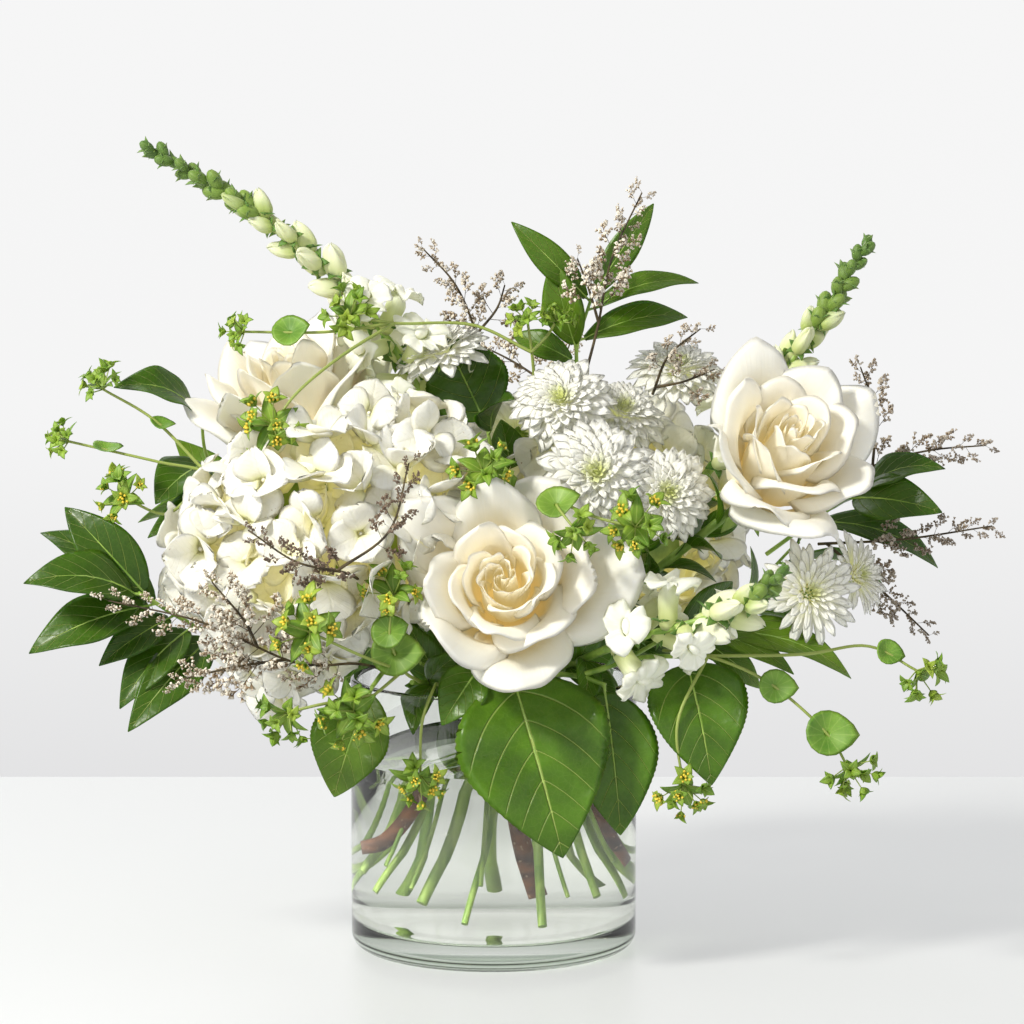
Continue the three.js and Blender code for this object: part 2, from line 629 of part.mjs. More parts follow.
const BUPLEURUMS = [
  {
    name: 'bupleurum_upper_left',
    stems: [
      {
        route: [[-150, -24, 256], [-178, -20, 284], [-204, -22, 300]],
        umbel: [-0.3, -0.3, 0.9], size: 12, rounds: [[0.5, [0.2, -0.4, 0.8], 6]],
      },
      {
        route: [[-136, -34, 238], [-150, -24, 256], [-174, -26, 262], [-222, -26, 273]],
        umbel: [-0.8, -0.3, 0.4], size: 10, rounds: [[0.8, [0.1, -0.3, 0.9], 7]],
      },
      { route: [[-150, -24, 256], [-170, -34, 236], [-191, -38, 244]], umbel: [-0.5, -0.6, 0.5], size: 14 },
    ],
  },
  {
    name: 'bupleurum_centre',
    stems: [
      {
        route: [[24, -46, 250], [4, -68, 254], [-5, -86, 263]],
        umbel: [0, -0.7, 0.7], size: 16, rounds: [[0.75, [-0.2, -0.9, -0.1], 11]],
      },
      {
        route: [[24, -46, 250], [30, -84, 250], [34, -108, 246], [41, -118, 238]],
        umbel: [0.1, -0.8, -0.5], size: 13, rounds: [[0.72, [-0.2, -0.7, 0.7], 10]],
      },
      { route: [[30, -84, 250], [50, -96, 242], [72, -104, 237]], umbel: [0.1, -0.9, 0.3], size: 15 },
    ],
  },
  {
    name: 'bupleurum_lower_left',
    stems: [
      {
        route: [[-38, -64, 152], [-46, -96, 164], [-52, -102, 180], [-50, -100, 202]],
        umbel: [-0.1, -0.7, 0.6], size: 14,
        rounds: [[0.6, [0, -1, 0.2], 12], [0.75, [-0.3, -0.9, 0.3], 9]],
      },
      { route: [[-46, -94, 162], [-66, -120, 174], [-91, -128, 187]], umbel: [-0.3, -0.9, 0.3], size: 17 },
      { route: [[-46, -94, 162], [-60, -108, 152], [-70, -114, 145]], umbel: [-0.2, -0.9, -0.2], size: 16 },
      { route: [[-60, -108, 152], [-88, -114, 148], [-103, -113, 144]], umbel: [-0.5, -0.6, -0.5], size: 13 },
    ],
  },
  {
    name: 'bupleurum_front',
    stems: [
      {
        route: [[-28, -62, 150], [-30, -82, 152], [-36, -94, 136], [-37, -98, 109]],
        umbel: [0.1, -0.8, -0.5], size: 14,
      },
    ],
  },
  {
    name: 'bupleurum_right',
    stems: [
      {
        route: [[88, -62, 168], [110, -82, 168], [140, -90, 156], [172, -94, 128], [181, -94, 113]],
        umbel: [0.4, -0.5, -0.7], size: 13,
        rounds: [[0.55, [0.1, -0.9, 0.3], 9], [0.84, [0.1, -0.9, 0.3], 12]],
      },
      {
        route: [[110, -82, 168], [160, -88, 170], [192, -88, 174], [216, -91, 162]],
        umbel: [0.6, -0.5, -0.5], size: 13, rounds: [[0.84, [0.3, -0.8, 0.4], 7]],
      },
      { route: [[110, -82, 168], [94, -98, 136], [97, -96, 104]], umbel: [0.1, -0.7, -0.6], size: 14 },
    ],
  },
  {
    name: 'bupleurum_top',
    stems: [
      { route: [[22, 4, 300], [20, -2, 320], [18, -5, 334]], umbel: [-0.2, -0.5, 0.8], size: 10 },
      { route: [[20, -2, 318], [28, 0, 326], [33, -2, 334]], umbel: [0.3, -0.5, 0.8], size: 9 },
      {
        route: [[20, -2, 318], [-10, 0, 332], [-52, -12, 334], [-75, -17, 338]],
        umbel: [-0.1, -0.7, 0.6], size: 13,
      },
      {
        route: [[-52, -12, 334], [-88, -22, 330], [-130, -20, 330]],
        umbel: [-0.8, -0.4, 0.3], size: 10, rounds: [[0.7, [-0.2, -0.8, 0.5], 9]],
      },
    ],
  },
];

const LAVENDERS = [
  {
    name: 'lavender_top_left', seed: 51, spacing: 20, bare: 0.35, reach: 15,
    twigs: [
      [[-2, 14, 290], [-8, 16, 322], [-20, 18, 352], [-38, 20, 372]],
      [0.4, [2, 20, 340], [6, 22, 352]],
    ],
  },
  {
    name: 'lavender_top', seed: 52, spacing: 20, bare: 0.35, reach: 15,
    twigs: [
      [[48, -2, 304], [55, -6, 332], [62, -6, 367], [78, -4, 402]],
      [0.3, [50, -12, 352], [44, -14, 368]],
    ],
  },
  {
    name: 'lavender_top_right', seed: 53, spacing: 20, bare: 0.4, reach: 13,
    twigs: [
      [[84, -4, 296], [92, -22, 318], [108, -26, 332]],
      [0.1, [100, -20, 304], [116, -16, 310]],
    ],
  },
  {
    name: 'lavender_lower_left', seed: 54, spacing: 17, bare: 0.2, reach: 17,
    twigs: [
      [[-56, -74, 160], [-70, -94, 166], [-97, -108, 168], [-147, -112, 190], [-194, -106, 200]],
      [0.4, [-128, -116, 168], [-160, -112, 160]],
      [0.5, [-124, -124, 192], [-140, -126, 212]],
    ],
  },
  {
    name: 'lavender_over_hydrangea', seed: 55, spacing: 24, bare: 0.35, reach: 13,
    twigs: [
      [[-66, -80, 206], [-76, -116, 216], [-98, -124, 222], [-122, -124, 238]],
      [0.45, [-52, -114, 236], [-42, -108, 270]],
    ],
  },
  {
    name: 'lavender_right', seed: 56, spacing: 20, bare: 0.3, reach: 15,
    twigs: [
      [[176, 14, 236], [204, 18, 256], [232, 16, 264], [262, 14, 267]],
      [0.35, [204, 22, 284], [196, 24, 308]],
    ],
  },
  {
    name: 'lavender_right_low', seed: 57, spacing: 20, bare: 0.3, reach: 13,
    twigs: [
      [[172, -2, 216], [216, -14, 220], [262, -22, 228]],
      [0.05, [206, -18, 192], [228, -36, 172]],
    ],
  },
  {
    name: 'lavender_back', seed: 58, spacing: 21, bare: 0.3, reach: 15,
    twigs: [
      [[24, 64, 262], [32, 98, 290], [44, 122, 318]],
      [0.55, [10, 118, 304], [-8, 132, 312]],
    ],
  },
];

const LEAFY_STEMS = [
  {
    name: 'leafy_stem_front', material: 'leafDark', radius: 1.6,
    twigs: [
      [[16, -48, 148], [12, -64, 157], [9, -76, 160]],
      [[12, -64, 157], [44, -72, 156], [58, -76, 152]],
      [[44, -72, 156], [76, -68, 165], [100, -76, 167]],
      [[12, -64, 157], [2, -70, 162], [-6, -74, 163]],
    ],
    leaves: [
      { on: [0, 0.98], tip: [36, -104, 68], width: 78, up: [0.1, -1, 0.1], belly: 0.7, arch: 0.08 },
      { on: [1, 0.98], tip: [66, -88, 76], width: 44, up: [0.15, -1, 0], belly: 0.75, arch: 0.05 },
      { on: [2, 0.98], tip: [112, -96, 104], width: 50, up: [0.1, -1, 0.2], belly: 0.65, arch: 0.1 },
      { on: [3, 0.98], tip: [-26, -90, 134], width: 24, up: [-0.2, -1, 0.1], belly: 0.75, arch: 0.08 },
    ],
  },
  {
    name: 'hydrangea_leaf', material: 'leaf', radius: 1.6,
    twigs: [[[-44, -50, 158], [-54, -68, 160], [-62, -82, 152]]],
    leaves: [{ on: [0, 0.98], tip: [-82, -88, 96], width: 40, up: [-0.3, -1, 0], belly: 0.8, arch: 0.08 }],
  },
  {
    name: 'leafy_stem_centre', material: 'leafDark',
    twigs: [[[0, 14, 258], [-4, 8, 280]]],
    leaves: [
      { on: [0, 0.9], tip: [-24, 2, 322], width: 34, up: [-0.1, -0.9, 0.3], belly: 0.8, arch: -0.1 },
      { on: [0, 0.7], tip: [10, -22, 296], width: 20, up: [0, -0.6, 0.8], arch: 0.15 },
    ],
  },
  {
    name: 'leafy_stem_top', material: 'leaf',
    twigs: [[[50, 14, 288], [44, 14, 316], [52, 16, 346]]],
    leaves: [
      { on: [0, 0.96], tip: [10, 6, 386], width: 15, up: [-0.4, -0.7, 0.5], belly: 1, arch: 0.12 },
      { on: [0, 0.5], tip: [31, 6, 366], width: 20, up: [-0.2, -0.9, 0.2], belly: 0.9, arch: 0.08 },
      { on: [0, 0.98], tip: [86, 24, 395], width: 15, up: [0.4, -0.8, 0.2], belly: 1, arch: -0.06 },
      { on: [0, 0.88], tip: [109, 24, 355], width: 15, up: [0, -0.6, 0.8], belly: 1, arch: 0.12 },
      { on: [0, 0.6], tip: [104, 30, 336], width: 18, up: [0, -0.7, 0.6], belly: 1, arch: 0.12 },
      { on: [0, 0.4], tip: [10, 22, 326], width: 14, up: [-0.2, -0.8, 0.5], belly: 1, arch: 0.1 },
    ],
  },
  {
    name: 'leafy_stem_upper_left', material: 'leafDark',
    twigs: [[[-122, 34, 226], [-152, 24, 256], [-156, 14, 286]]],
    leaves: [
      { on: [0, 0.97], tip: [-198, -14, 302], width: 26, up: [0.1, -0.6, 0.8], arch: 0.16 },
      { on: [0, 0.6], tip: [-178, -12, 240], width: 27, up: [-0.3, -0.9, 0.3], arch: 0.1 },
      { on: [0, 0.3], tip: [-182, -10, 222], width: 18, up: [-0.3, -0.9, 0.3], arch: 0.1 },
    ],
  },
  {
    name: 'leafy_stem_left', material: 'leafDark', radius: 1.5,
    twigs: [[[-116, 2, 156], [-150, -14, 170], [-184, -48, 196]]],
    leaves: [
      { on: [0, 0.9], tip: [-223, -38, 240], width: 27, up: [-0.2, -0.8, 0.5], arch: 0.1 },
      { on: [0, 0.98], tip: [-240, -72, 206], width: 29, up: [0.1, -0.7, 0.7], arch: 0.16 },
      { on: [0, 0.82], tip: [-238, -18, 226], width: 23, up: [-0.1, -0.6, 0.8], arch: 0.1 },
      { on: [0, 0.86], tip: [-240, -62, 168], width: 27, up: [0, -0.8, 0.6], arch: 0.1 },
      { on: [0, 0.7], tip: [-204, -56, 160], width: 18, up: [-0.2, -0.9, 0.2], arch: 0.1 },
      { on: [0, 0.55], tip: [-194, -56, 138], width: 24, up: [-0.3, -0.9, 0.2], arch: 0.12 },
      { on: [0, 0.4], tip: [-188, -66, 128], width: 26, up: [-0.1, -1, 0.2], arch: 0.1 },
    ],
  },
  {
    name: 'leafy_stem_right', material: 'leafDark',
    twigs: [[[146, 18, 208], [176, 6, 232], [194, -6, 246]]],
    leaves: [
      { on: [0, 0.97], tip: [237, -16, 259], width: 20, up: [0, -0.6, 0.8], arch: 0.16 },
      { on: [0, 0.85], tip: [233, -36, 238], width: 25, up: [0.1, -0.9, 0.4], arch: 0.1 },
      { on: [0, 0.5], tip: [238, 8, 204], width: 20, up: [0.1, -0.6, 0.7], arch: 0.14 },
    ],
  },
  {
    name: 'leafy_stem_low_right', material: 'leaf',
    twigs: [[[72, -44, 162], [92, -54, 174], [112, -60, 178]]],
    leaves: [
      { on: [0, 0.95], tip: [154, -82, 160], width: 12, up: [0.1, -0.8, 0.6], belly: 1, arch: 0.12 },
      { on: [0, 0.8], tip: [140, -48, 146], width: 13, up: [0.2, -0.9, 0.3], belly: 1, arch: 0.1 },
      { on: [0, 0.97], tip: [186, -64, 156], width: 22, up: [0.1, -0.6, 0.8], arch: 0.14 },
      { on: [0, 0.6], tip: [128, -20, 148], width: 16, up: [0.3, -0.6, 0.6], arch: 0.1 },
    ],
  },
  {
    name: 'leafy_stem_back', material: 'leafDark', radius: 1.6,
    twigs: [
      [[0, 56, 156], [-2, 74, 162], [-2, 86, 164]],
      [[-2, 74, 162], [34, 82, 166]],
      [[-2, 74, 162], [-46, 84, 167]],
    ],
    leaves: [
      { on: [0, 0.98], tip: [-10, 108, 88], width: 60, up: [0, 1, 0.2], belly: 0.7, arch: 0.08 },
      { on: [1, 0.98], tip: [66, 114, 108], width: 48, up: [0.3, 1, 0.2], belly: 0.7, arch: 0.1 },
      { on: [2, 0.98], tip: [-84, 116, 124], width: 44, up: [-0.3, 1, 0.4], belly: 0.7, arch: 0.1 },
    ],
  },
  {
    name: 'leafy_stem_back_left', material: 'leaf',
    twigs: [[[-90, 36, 180], [-122, 60, 202], [-140, 74, 226]]],
    leaves: [
      { on: [0, 0.97], tip: [-176, 96, 262], width: 22, up: [-0.4, 0.8, 0.4], arch: 0.1 },
      { on: [0, 0.85], tip: [-196, 84, 220], width: 24, up: [-0.1, 0.5, 0.8], arch: 0.14 },
      { on: [0, 0.65], tip: [-140, 120, 190], width: 24, up: [-0.2, 0.5, 0.8], arch: 0.12 },
      { on: [0, 0.35], tip: [-116, 104, 150], width: 25, up: [-0.2, 0.8, 0.5], arch: 0.12 },
    ],
  },
  {
    name: 'leafy_stem_back_right', material: 'leafDark',
    twigs: [[[92, 22, 168], [130, 40, 178], [164, 58, 208]]],
    leaves: [
      { on: [0, 0.97], tip: [206, 76, 236], width: 22, up: [0.2, 0.5, 0.8], arch: 0.12 },
      { on: [0, 0.85], tip: [212, 50, 190], width: 24, up: [0.1, 0.3, 0.9], arch: 0.14 },
      { on: [0, 0.65], tip: [166, 98, 156], width: 26, up: [0.2, 0.7, 0.6], arch: 0.12 },
      { on: [0, 0.35], tip: [112, 96, 136], width: 28, up: [0.1, 0.8, 0.5], arch: 0.12 },
    ],
  },
];

// Stems in the order in which they lean round the crossing, each from its cut foot to its neck.
const GREEN_STEMS = [
  { foot: [-60, -10, 42], bend: [40, 0, 162], neck: [138, -20, 246], radius: 2.8 },
  { foot: [-56, -24, 34], bend: [32, 6, 160], neck: [112, 14, 250], radius: 2.2 },
  { foot: [-34, -42, 32], bend: [22, 18, 158], neck: [60, 56, 214], radius: 3.2 },
  { foot: [-14, -58, 24], bend: [6, 24, 166], neck: [12, 88, 262], radius: 1.9 },
  { foot: [24, -54, 22], bend: [-12, 20, 158], neck: [-44, 66, 220], radius: 2.6 },
  { foot: [50, -36, 34], bend: [-24, 12, 160], neck: [-95, 22, 256], radius: 2.6 },
  { foot: [60, -8, 28], bend: [-12, 4, 172], neck: [-30, 8, 275], radius: 2.2 },
  { foot: [52, 26, 30], bend: [-26, -8, 152], neck: [-80, -34, 206], radius: 3.4 },
  { foot: [32, 50, 26], bend: [-24, -28, 144], neck: [-42, -66, 152], radius: 1.5 },
  { foot: [0, 60, 24], bend: [4, -18, 148], neck: [8, -50, 188], radius: 2.8 },
  { foot: [-28, 52, 22], bend: [26, -28, 148], neck: [58, -76, 171], radius: 2.2 },
  { foot: [-46, 38, 30], bend: [24, -14, 162], neck: [52, -54, 254], radius: 1.9 },
  { foot: [-60, 14, 26], bend: [44, -14, 154], neck: [160, -50, 194], radius: 1.9 },
];

const WOODY_STEMS = [
  {
    name: 'woody_stem_left', radius: 3.4,
    route: [[-64, -18, 56], [-50, -22, 60], [-30, -26, 78], [-12, -22, 98], [-6, -18, 112]],
  },
  {
    name: 'woody_stem_middle', radius: 4.2,
    route: [[20, -30, 34], [14, -26, 54], [8, -20, 74], [6, -16, 92]],
  },
  {
    name: 'woody_stem_right', radius: 3.2,
    route: [[62, -8, 46], [50, -10, 62], [34, -10, 84], [22, -8, 98]],
  },
];

// The stems pass the crossing side by side, each a step further round it, so that they lean together.
function buildGreenStems(grow) {
  return joined(GREEN_STEMS.map((stem, i) => {
    const a = (i / GREEN_STEMS.length) * 2 * Math.PI - Math.PI / 2;
    const pass = [
      CROSSING[0] + CROSSING_RING * Math.cos(a),
      CROSSING[1] + CROSSING_RING * Math.sin(a),
      CROSSING[2],
    ];
    return tube([stem.foot, pass, stem.bend, stem.neck], stem.radius, TWIG_SIDES, STEM_STEPS, grow);
  }));
}

// ---------------------------------------------------------------- the centerpiece

// Pieces in the order in which they keep their shape: a later one gives way to an earlier one.
const PIECES = [
  { name: 'vase', material: 'glass', build: buildVase },
  { name: 'green_stems', material: 'stem', build: buildGreenStems },
  ...WOODY_STEMS.map((stem) => ({
    name: stem.name, material: 'wood', build: (grow) => tube(stem.route, stem.radius, STEM_SIDES, 5, grow),
  })),
  { name: 'water', material: 'water', build: buildWater },
  ...BUPLEURUMS.map((s) => ({ name: s.name, material: 'bupleurum', build: (g) => buildBupleurum(s, g) })),
  ...LAVENDERS.map((s) => ({ name: s.name, material: 'lavender', build: (g) => buildLavender(s, g) })),
  ...ROSES.map((s) => ({ name: s.name, material: 'rose', build: (g) => buildRose(s, g) })),
  ...MUMS.map((s) => ({ name: s.name, material: 'mum', build: (g) => buildMum(s, g) })),
  ...SNAPDRAGONS.map((s) => ({ name: s.name, material: 'snapdragon', build: (g) => buildSnapdragon(s, g) })),
  ...HYDRANGEAS.map((s) => ({ name: s.name, material: 'hydrangea', build: (g) => buildHydrangea(s, g) })),
  ...LEAFY_STEMS.map((s) => ({ name: s.name, material: s.material, build: (g) => buildLeafyStem(s, g) })),
];

function boxesMeet(a, b) {
  return [0, 1, 2].every((axis) => a.min[axis] <= b.max[axis] && b.min[axis] <= a.max[axis]);
}

function arrange(pieces) {
  const group = new THREE.Group();
  const standing = [];
  pieces.forEach((piece) => {
    let body = piece.build(0);
    standing.forEach((other) => {
      if (boxesMeet(other.boundingBox(), body.boundingBox())) body = body.subtract(other);
    });
    const mesh = new THREE.Mesh(geometryOf(biggest(body)), MATERIALS[piece.material].clone());
    mesh.name = piece.name;
    group.add(mesh);
    if (piece.name !== 'vase' && piece.name !== 'water') standing.push(piece.build(CLEARANCE));
  });
  return group;
}

export default arrange(PIECES);
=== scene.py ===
# %% [markdown]
# A floral table centerpiece: cream roses, white hydrangea, cushion mums, snapdragons, bupleurum,
# sea lavender and leafy stems, standing in water in a clear glass cylinder vase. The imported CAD
# model is loaded first as a fixed frame. Every node of it is then replaced by a finer piece at
# the same place, because petals and leaves are far more curved than the solids can afford.

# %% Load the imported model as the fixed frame
import json
import math

import bpy
import numpy as np
from mathutils import Matrix, Quaternion, Vector

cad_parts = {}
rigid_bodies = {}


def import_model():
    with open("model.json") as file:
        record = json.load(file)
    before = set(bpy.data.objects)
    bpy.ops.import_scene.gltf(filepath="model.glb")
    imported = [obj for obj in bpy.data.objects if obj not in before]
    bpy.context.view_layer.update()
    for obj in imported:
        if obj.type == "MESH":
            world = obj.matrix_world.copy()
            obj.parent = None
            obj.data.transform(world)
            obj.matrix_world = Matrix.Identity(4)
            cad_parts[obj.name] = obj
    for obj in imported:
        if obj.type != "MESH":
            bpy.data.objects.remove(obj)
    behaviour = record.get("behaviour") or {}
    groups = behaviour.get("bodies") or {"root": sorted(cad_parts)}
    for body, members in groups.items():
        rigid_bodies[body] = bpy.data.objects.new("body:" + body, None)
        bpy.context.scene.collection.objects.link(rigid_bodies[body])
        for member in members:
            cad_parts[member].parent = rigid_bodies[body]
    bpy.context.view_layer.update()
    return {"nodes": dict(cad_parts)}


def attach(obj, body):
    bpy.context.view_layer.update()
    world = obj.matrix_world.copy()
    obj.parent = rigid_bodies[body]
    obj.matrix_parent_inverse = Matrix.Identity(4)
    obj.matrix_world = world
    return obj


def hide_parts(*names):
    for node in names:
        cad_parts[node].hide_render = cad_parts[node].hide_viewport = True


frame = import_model()
print("nodes in the frame:", len(frame["nodes"]))

# %% [markdown]
# The layout tables below are in millimetres, as a florist would measure, and every mesh is
# brought to metres once, when it is made. Turns are in radians. The golden angle, which a
# growing plant uses too, sets most flower parts round a stem or over a head.

# %% Measures that the whole bouquet shares
MM = 0.001
GOLDEN_ANGLE = math.pi * (3 - math.sqrt(5))
FIFTH_TURN = 1.2566
TWELFTH_TURN = 0.5236
FULL_TURN = 6.28
VASE_DIAMETER = 152.4
VASE_HEIGHT = 145
VASE_WALL = 4
VASE_FLOOR = 13
VASE_FOOT_ROUND = 8
WATER_LEVEL = 101.5
print(f"vase {VASE_DIAMETER} mm across and {VASE_HEIGHT} mm high, water up to {WATER_LEVEL} mm")

# %% [markdown]
# The camera stands where the photograph was taken from: low, a little above the rim, far away
# with a long lens. It comes first, so that every trial picture shows the same view. Its place is
# in metres, its tilt in degrees below the level and its lens in millimetres.

# %% Camera
CAMERA_PLACE = (0.0098, -2.100, 0.474)
CAMERA_LOOKS_DOWN = 6.55
CAMERA_LENS = 140.1
camera_data = bpy.data.cameras.new("camera")
camera_data.lens = CAMERA_LENS
camera_data.sensor_width = 36.0
camera_data.clip_end = 50
camera = bpy.data.objects.new("camera", camera_data)
camera.location = CAMERA_PLACE
camera.rotation_euler = (math.radians(90 - CAMERA_LOOKS_DOWN), 0, 0)
bpy.context.scene.collection.objects.link(camera)
bpy.context.scene.camera = camera
print(f"camera at {CAMERA_PLACE}, with a {CAMERA_LENS} mm lens")

# %% [markdown]
# Node trees, both for shaders and for geometry, are written as Python expressions. A Wire holds
# one output socket, and arithmetic on wires adds Math nodes, so a formula reads as a formula.

# %% Wires and graphs
class Wire:
    """An output socket that sums and products can be written with."""

    def __init__(self, graph, socket):
        self.graph = graph
        self.socket = socket

    def of(self, name):
        return Wire(self.graph, self.socket.node.outputs[name])

    def math(self, operation, *others):
        inputs = dict(enumerate((self,) + others))
        return self.graph.node("ShaderNodeMath", {"operation": operation}, inputs)

    def __add__(self, other): return self.math("ADD", other)
    def __sub__(self, other): return self.math("SUBTRACT", other)
    def __mul__(self, other): return self.math("MULTIPLY", other)
    def __truediv__(self, other): return self.math("DIVIDE", other)
    def __pow__(self, other): return self.math("POWER", other)
    def __radd__(self, other): return self.graph.number(other).math("ADD", self)
    def __rsub__(self, other): return self.graph.number(other).math("SUBTRACT", self)
    def __rmul__(self, other): return self.math("MULTIPLY", other)
    def __abs__(self): return self.math("ABSOLUTE")


class Graph:
    """A node tree that is written from empty."""

    def __init__(self, tree):
        self.tree = tree
        tree.nodes.clear()

    def node(self, kind, settings=None, inputs=None, out=0):
        """Adds a node. Its settings come first, then the values or wires of its sockets."""
        made = self.tree.nodes.new(kind)
        for name, value in (settings or {}).items():
            if name == "stops":
                self.fill_ramp(made.color_ramp, value)
            else:
                setattr(made, name, value)
        for key, value in (inputs or {}).items():
            if isinstance(value, Wire):
                self.tree.links.new(value.socket, made.inputs[key])
            else:
                made.inputs[key].default_value = value
        return Wire(self, made.outputs[out]) if len(made.outputs) else made

    def fill_ramp(self, ramp, stops):
        while len(ramp.elements) < len(stops):
            ramp.elements.new(0.5)
        for element, (place, colour) in zip(ramp.elements, stops):
            element.position = place
            element.color = (*colour, 1)

    def number(self, value):
        made = self.tree.nodes.new("ShaderNodeValue")
        made.outputs[0].default_value = value
        return Wire(self, made.outputs[0])

    def smooth(self, value, low, high):
        return self.node("ShaderNodeMapRange", {"interpolation_type": "SMOOTHSTEP"},
                         {"Value": value, "From Min": low, "From Max": high})

    def mix(self, factor, a, b):
        """From colour a to colour b. Each is a wire or three plain values."""
        shades = [c if isinstance(c, Wire) else (*c, 1) for c in (a, b)]
        return self.node("ShaderNodeMix", {"data_type": "RGBA"},
                         {0: factor, 6: shades[0], 7: shades[1]}, out=2)

    def noise(self, vector, scale, detail):
        return self.node("ShaderNodeTexNoise", {}, {"Vector": vector, "Scale": scale, "Detail": detail})

    def attribute(self, name):
        return self.node("ShaderNodeAttribute", {"attribute_name": name}, out=2)

# %% [markdown]
# Petals and leaves are thin closed sheets: a grid of points, pushed apart along its own normals
# into an upper and a lower face that meet at a fine rim. A Sheets object gathers many of them
# and makes one mesh, with a UV map that runs across (u) and along (v) each sheet.

# %% Gathering sheets into a mesh
def unit(vectors):
    return vectors / np.maximum(np.linalg.norm(vectors, axis=-1, keepdims=True), 1e-9)


def grid_uv(rows, columns):
    u, v = np.meshgrid(np.linspace(0, 1, columns), np.linspace(0, 1, rows))
    return np.stack([u, v], axis=-1)


def corners(cells, flip):
    """The four corners of every cell of a grid, in the order of a face that looks out or in."""
    found = [cells[:-1, :-1], cells[:-1, 1:], cells[1:, 1:], cells[1:, :-1]]
    return [found[k] for k in (1, 0, 3, 2)] if flip else found


class Sheets:
    """Closed thin sheets gathered into one mesh, in millimetres."""

    def __init__(self):
        self.points, self.faces, self.uvs, self.marks, self.materials = [], [], [], [], []
        self.count = 0

    def add_points(self, points, draw, part):
        """Adds points with their two marks: a random draw, and the part of the flower they are."""
        self.points.append(points)
        self.marks.append(np.tile([draw, part], (len(points), 1)))
        self.count += len(points)

    def add_grid(self, index, uv, flip, material):
        quads = np.stack(corners(index, flip), axis=-1).reshape(-1, 4)
        self.faces.append(quads)
        self.uvs.append(np.stack(corners(uv, flip), axis=-2).reshape(-1, 2))
        self.materials.append(np.full(len(quads), material))

    def sheet(self, grid, thickness, draw=0.0, part=0.0, material=0, around=False):
        """Adds a grid of shape (rows, columns, 3). around joins its last column to its first."""
        rows, columns = grid.shape[:2]
        rim = np.zeros((rows, columns), bool)
        rim[[0, -1]] = True
        if around:
            wrapped = np.concatenate([grid[:, -2:-1], grid, grid[:, 1:2]], axis=1)
            across = np.gradient(wrapped, axis=1)[:, 1:-1]
        else:
            across = np.gradient(grid, axis=1)
            rim[:, [0, -1]] = True
        normal = unit(np.cross(across, np.gradient(grid, axis=0)))
        push = normal * np.where(rim, 0, thickness / 2)[..., None]
        upper = np.arange(rows * columns).reshape(rows, columns)
        inner = ~rim
        if around:
            upper[:, -1] = upper[:, 0]
            inner[:, -1] = False
        lower = upper.copy()
        lower[inner] = rows * columns + np.arange(inner.sum())
        if around:
            lower[:, -1] = lower[:, 0]
        for index, flip in ((upper, False), (lower, True)):
            self.add_grid(index + self.count, grid_uv(rows, columns), flip, material)
        self.add_points(np.concatenate([(grid + push).reshape(-1, 3), (grid - push)[inner]]), draw, part)

    def shell(self, grid, draw=0.0, part=0.0, material=0):
        """Adds a closed skin of rings round an axis, with a cap on the first and on the last."""
        rows, columns = grid.shape[:2]
        index = np.arange(rows * columns).reshape(rows, columns)
        index = np.concatenate([index, index[:, :1]], axis=1) + self.count
        self.add_grid(index, grid_uv(rows, columns + 1), False, material)
        for ring, order in ((index[0], -1), (index[-1], 1)):
            self.faces.append(ring[:-1][::order])
            self.uvs.append(np.full((columns, 2), 0.5))
            self.materials.append(np.array([material]))
        self.add_points(grid.reshape(-1, 3), draw, part)

    def mesh(self, name, materials):
        faces = []
        for block in self.faces:
            faces.extend(np.atleast_2d(block).tolist())
        mesh = bpy.data.meshes.new(name)
        mesh.from_pydata((np.concatenate(self.points) * MM).tolist(), [], faces)
        layer = mesh.uv_layers.new(name="UVMap")
        layer.data.foreach_set("uv", np.concatenate(self.uvs).astype(np.float32).ravel())
        marks = np.concatenate(self.marks)
        for column, label in enumerate(("draw", "part")):
            data = mesh.attributes.new(label, "FLOAT", "POINT")
            data.data.foreach_set("value", marks[:, column].astype(np.float32))
        mesh.polygons.foreach_set("material_index", np.concatenate(self.materials).astype(np.int32))
        mesh.polygons.foreach_set("use_smooth", np.ones(len(faces), bool))
        for material in materials:
            mesh.materials.append(material)
        mesh.update()
        return mesh

# %% [markdown]
# Stems and twigs follow smooth routes through a few points. The points are the florist's marks;
# the curve between them is a centripetal spline, which passes through each point and never
# loops at a bend.

# %% Routes, frames and waves
def smooth_route(points, steps=8):
    """A smooth line through a few points, with some steps between each two of them."""
    marks = np.array(points, float)
    chain = [2 * marks[0] - marks[1], *marks, 2 * marks[-1] - marks[-2]]
    route = []
    for p0, p1, p2, p3 in zip(chain, chain[1:], chain[2:], chain[3:]):
        k1 = np.linalg.norm(p1 - p0) ** 0.5
        k2 = k1 + np.linalg.norm(p2 - p1) ** 0.5
        k3 = k2 + np.linalg.norm(p3 - p2) ** 0.5
        k = np.linspace(k1, k2, steps, endpoint=False)[:, None]
        a1 = (k1 - k) / k1 * p0 + k / k1 * p1
        a2 = (k2 - k) / (k2 - k1) * p1 + (k - k1) / (k2 - k1) * p2
        a3 = (k3 - k) / (k3 - k2) * p2 + (k - k2) / (k3 - k2) * p3
        b1 = (k2 - k) / k2 * a1 + k / k2 * a2
        b2 = (k3 - k) / (k3 - k1) * a2 + (k - k1) / (k3 - k1) * a3
        route.extend((k2 - k) / (k2 - k1) * b1 + (k - k1) / (k2 - k1) * b2)
    route.append(marks[-1])
    return np.array(route)


def spot(route, share):
    """The place at a share of a route's length."""
    steps = np.linalg.norm(np.diff(route, axis=0), axis=1)
    lengths = np.concatenate([[0], np.cumsum(steps)])
    return np.array([np.interp(share * lengths[-1], lengths, route[:, k]) for k in range(3)])


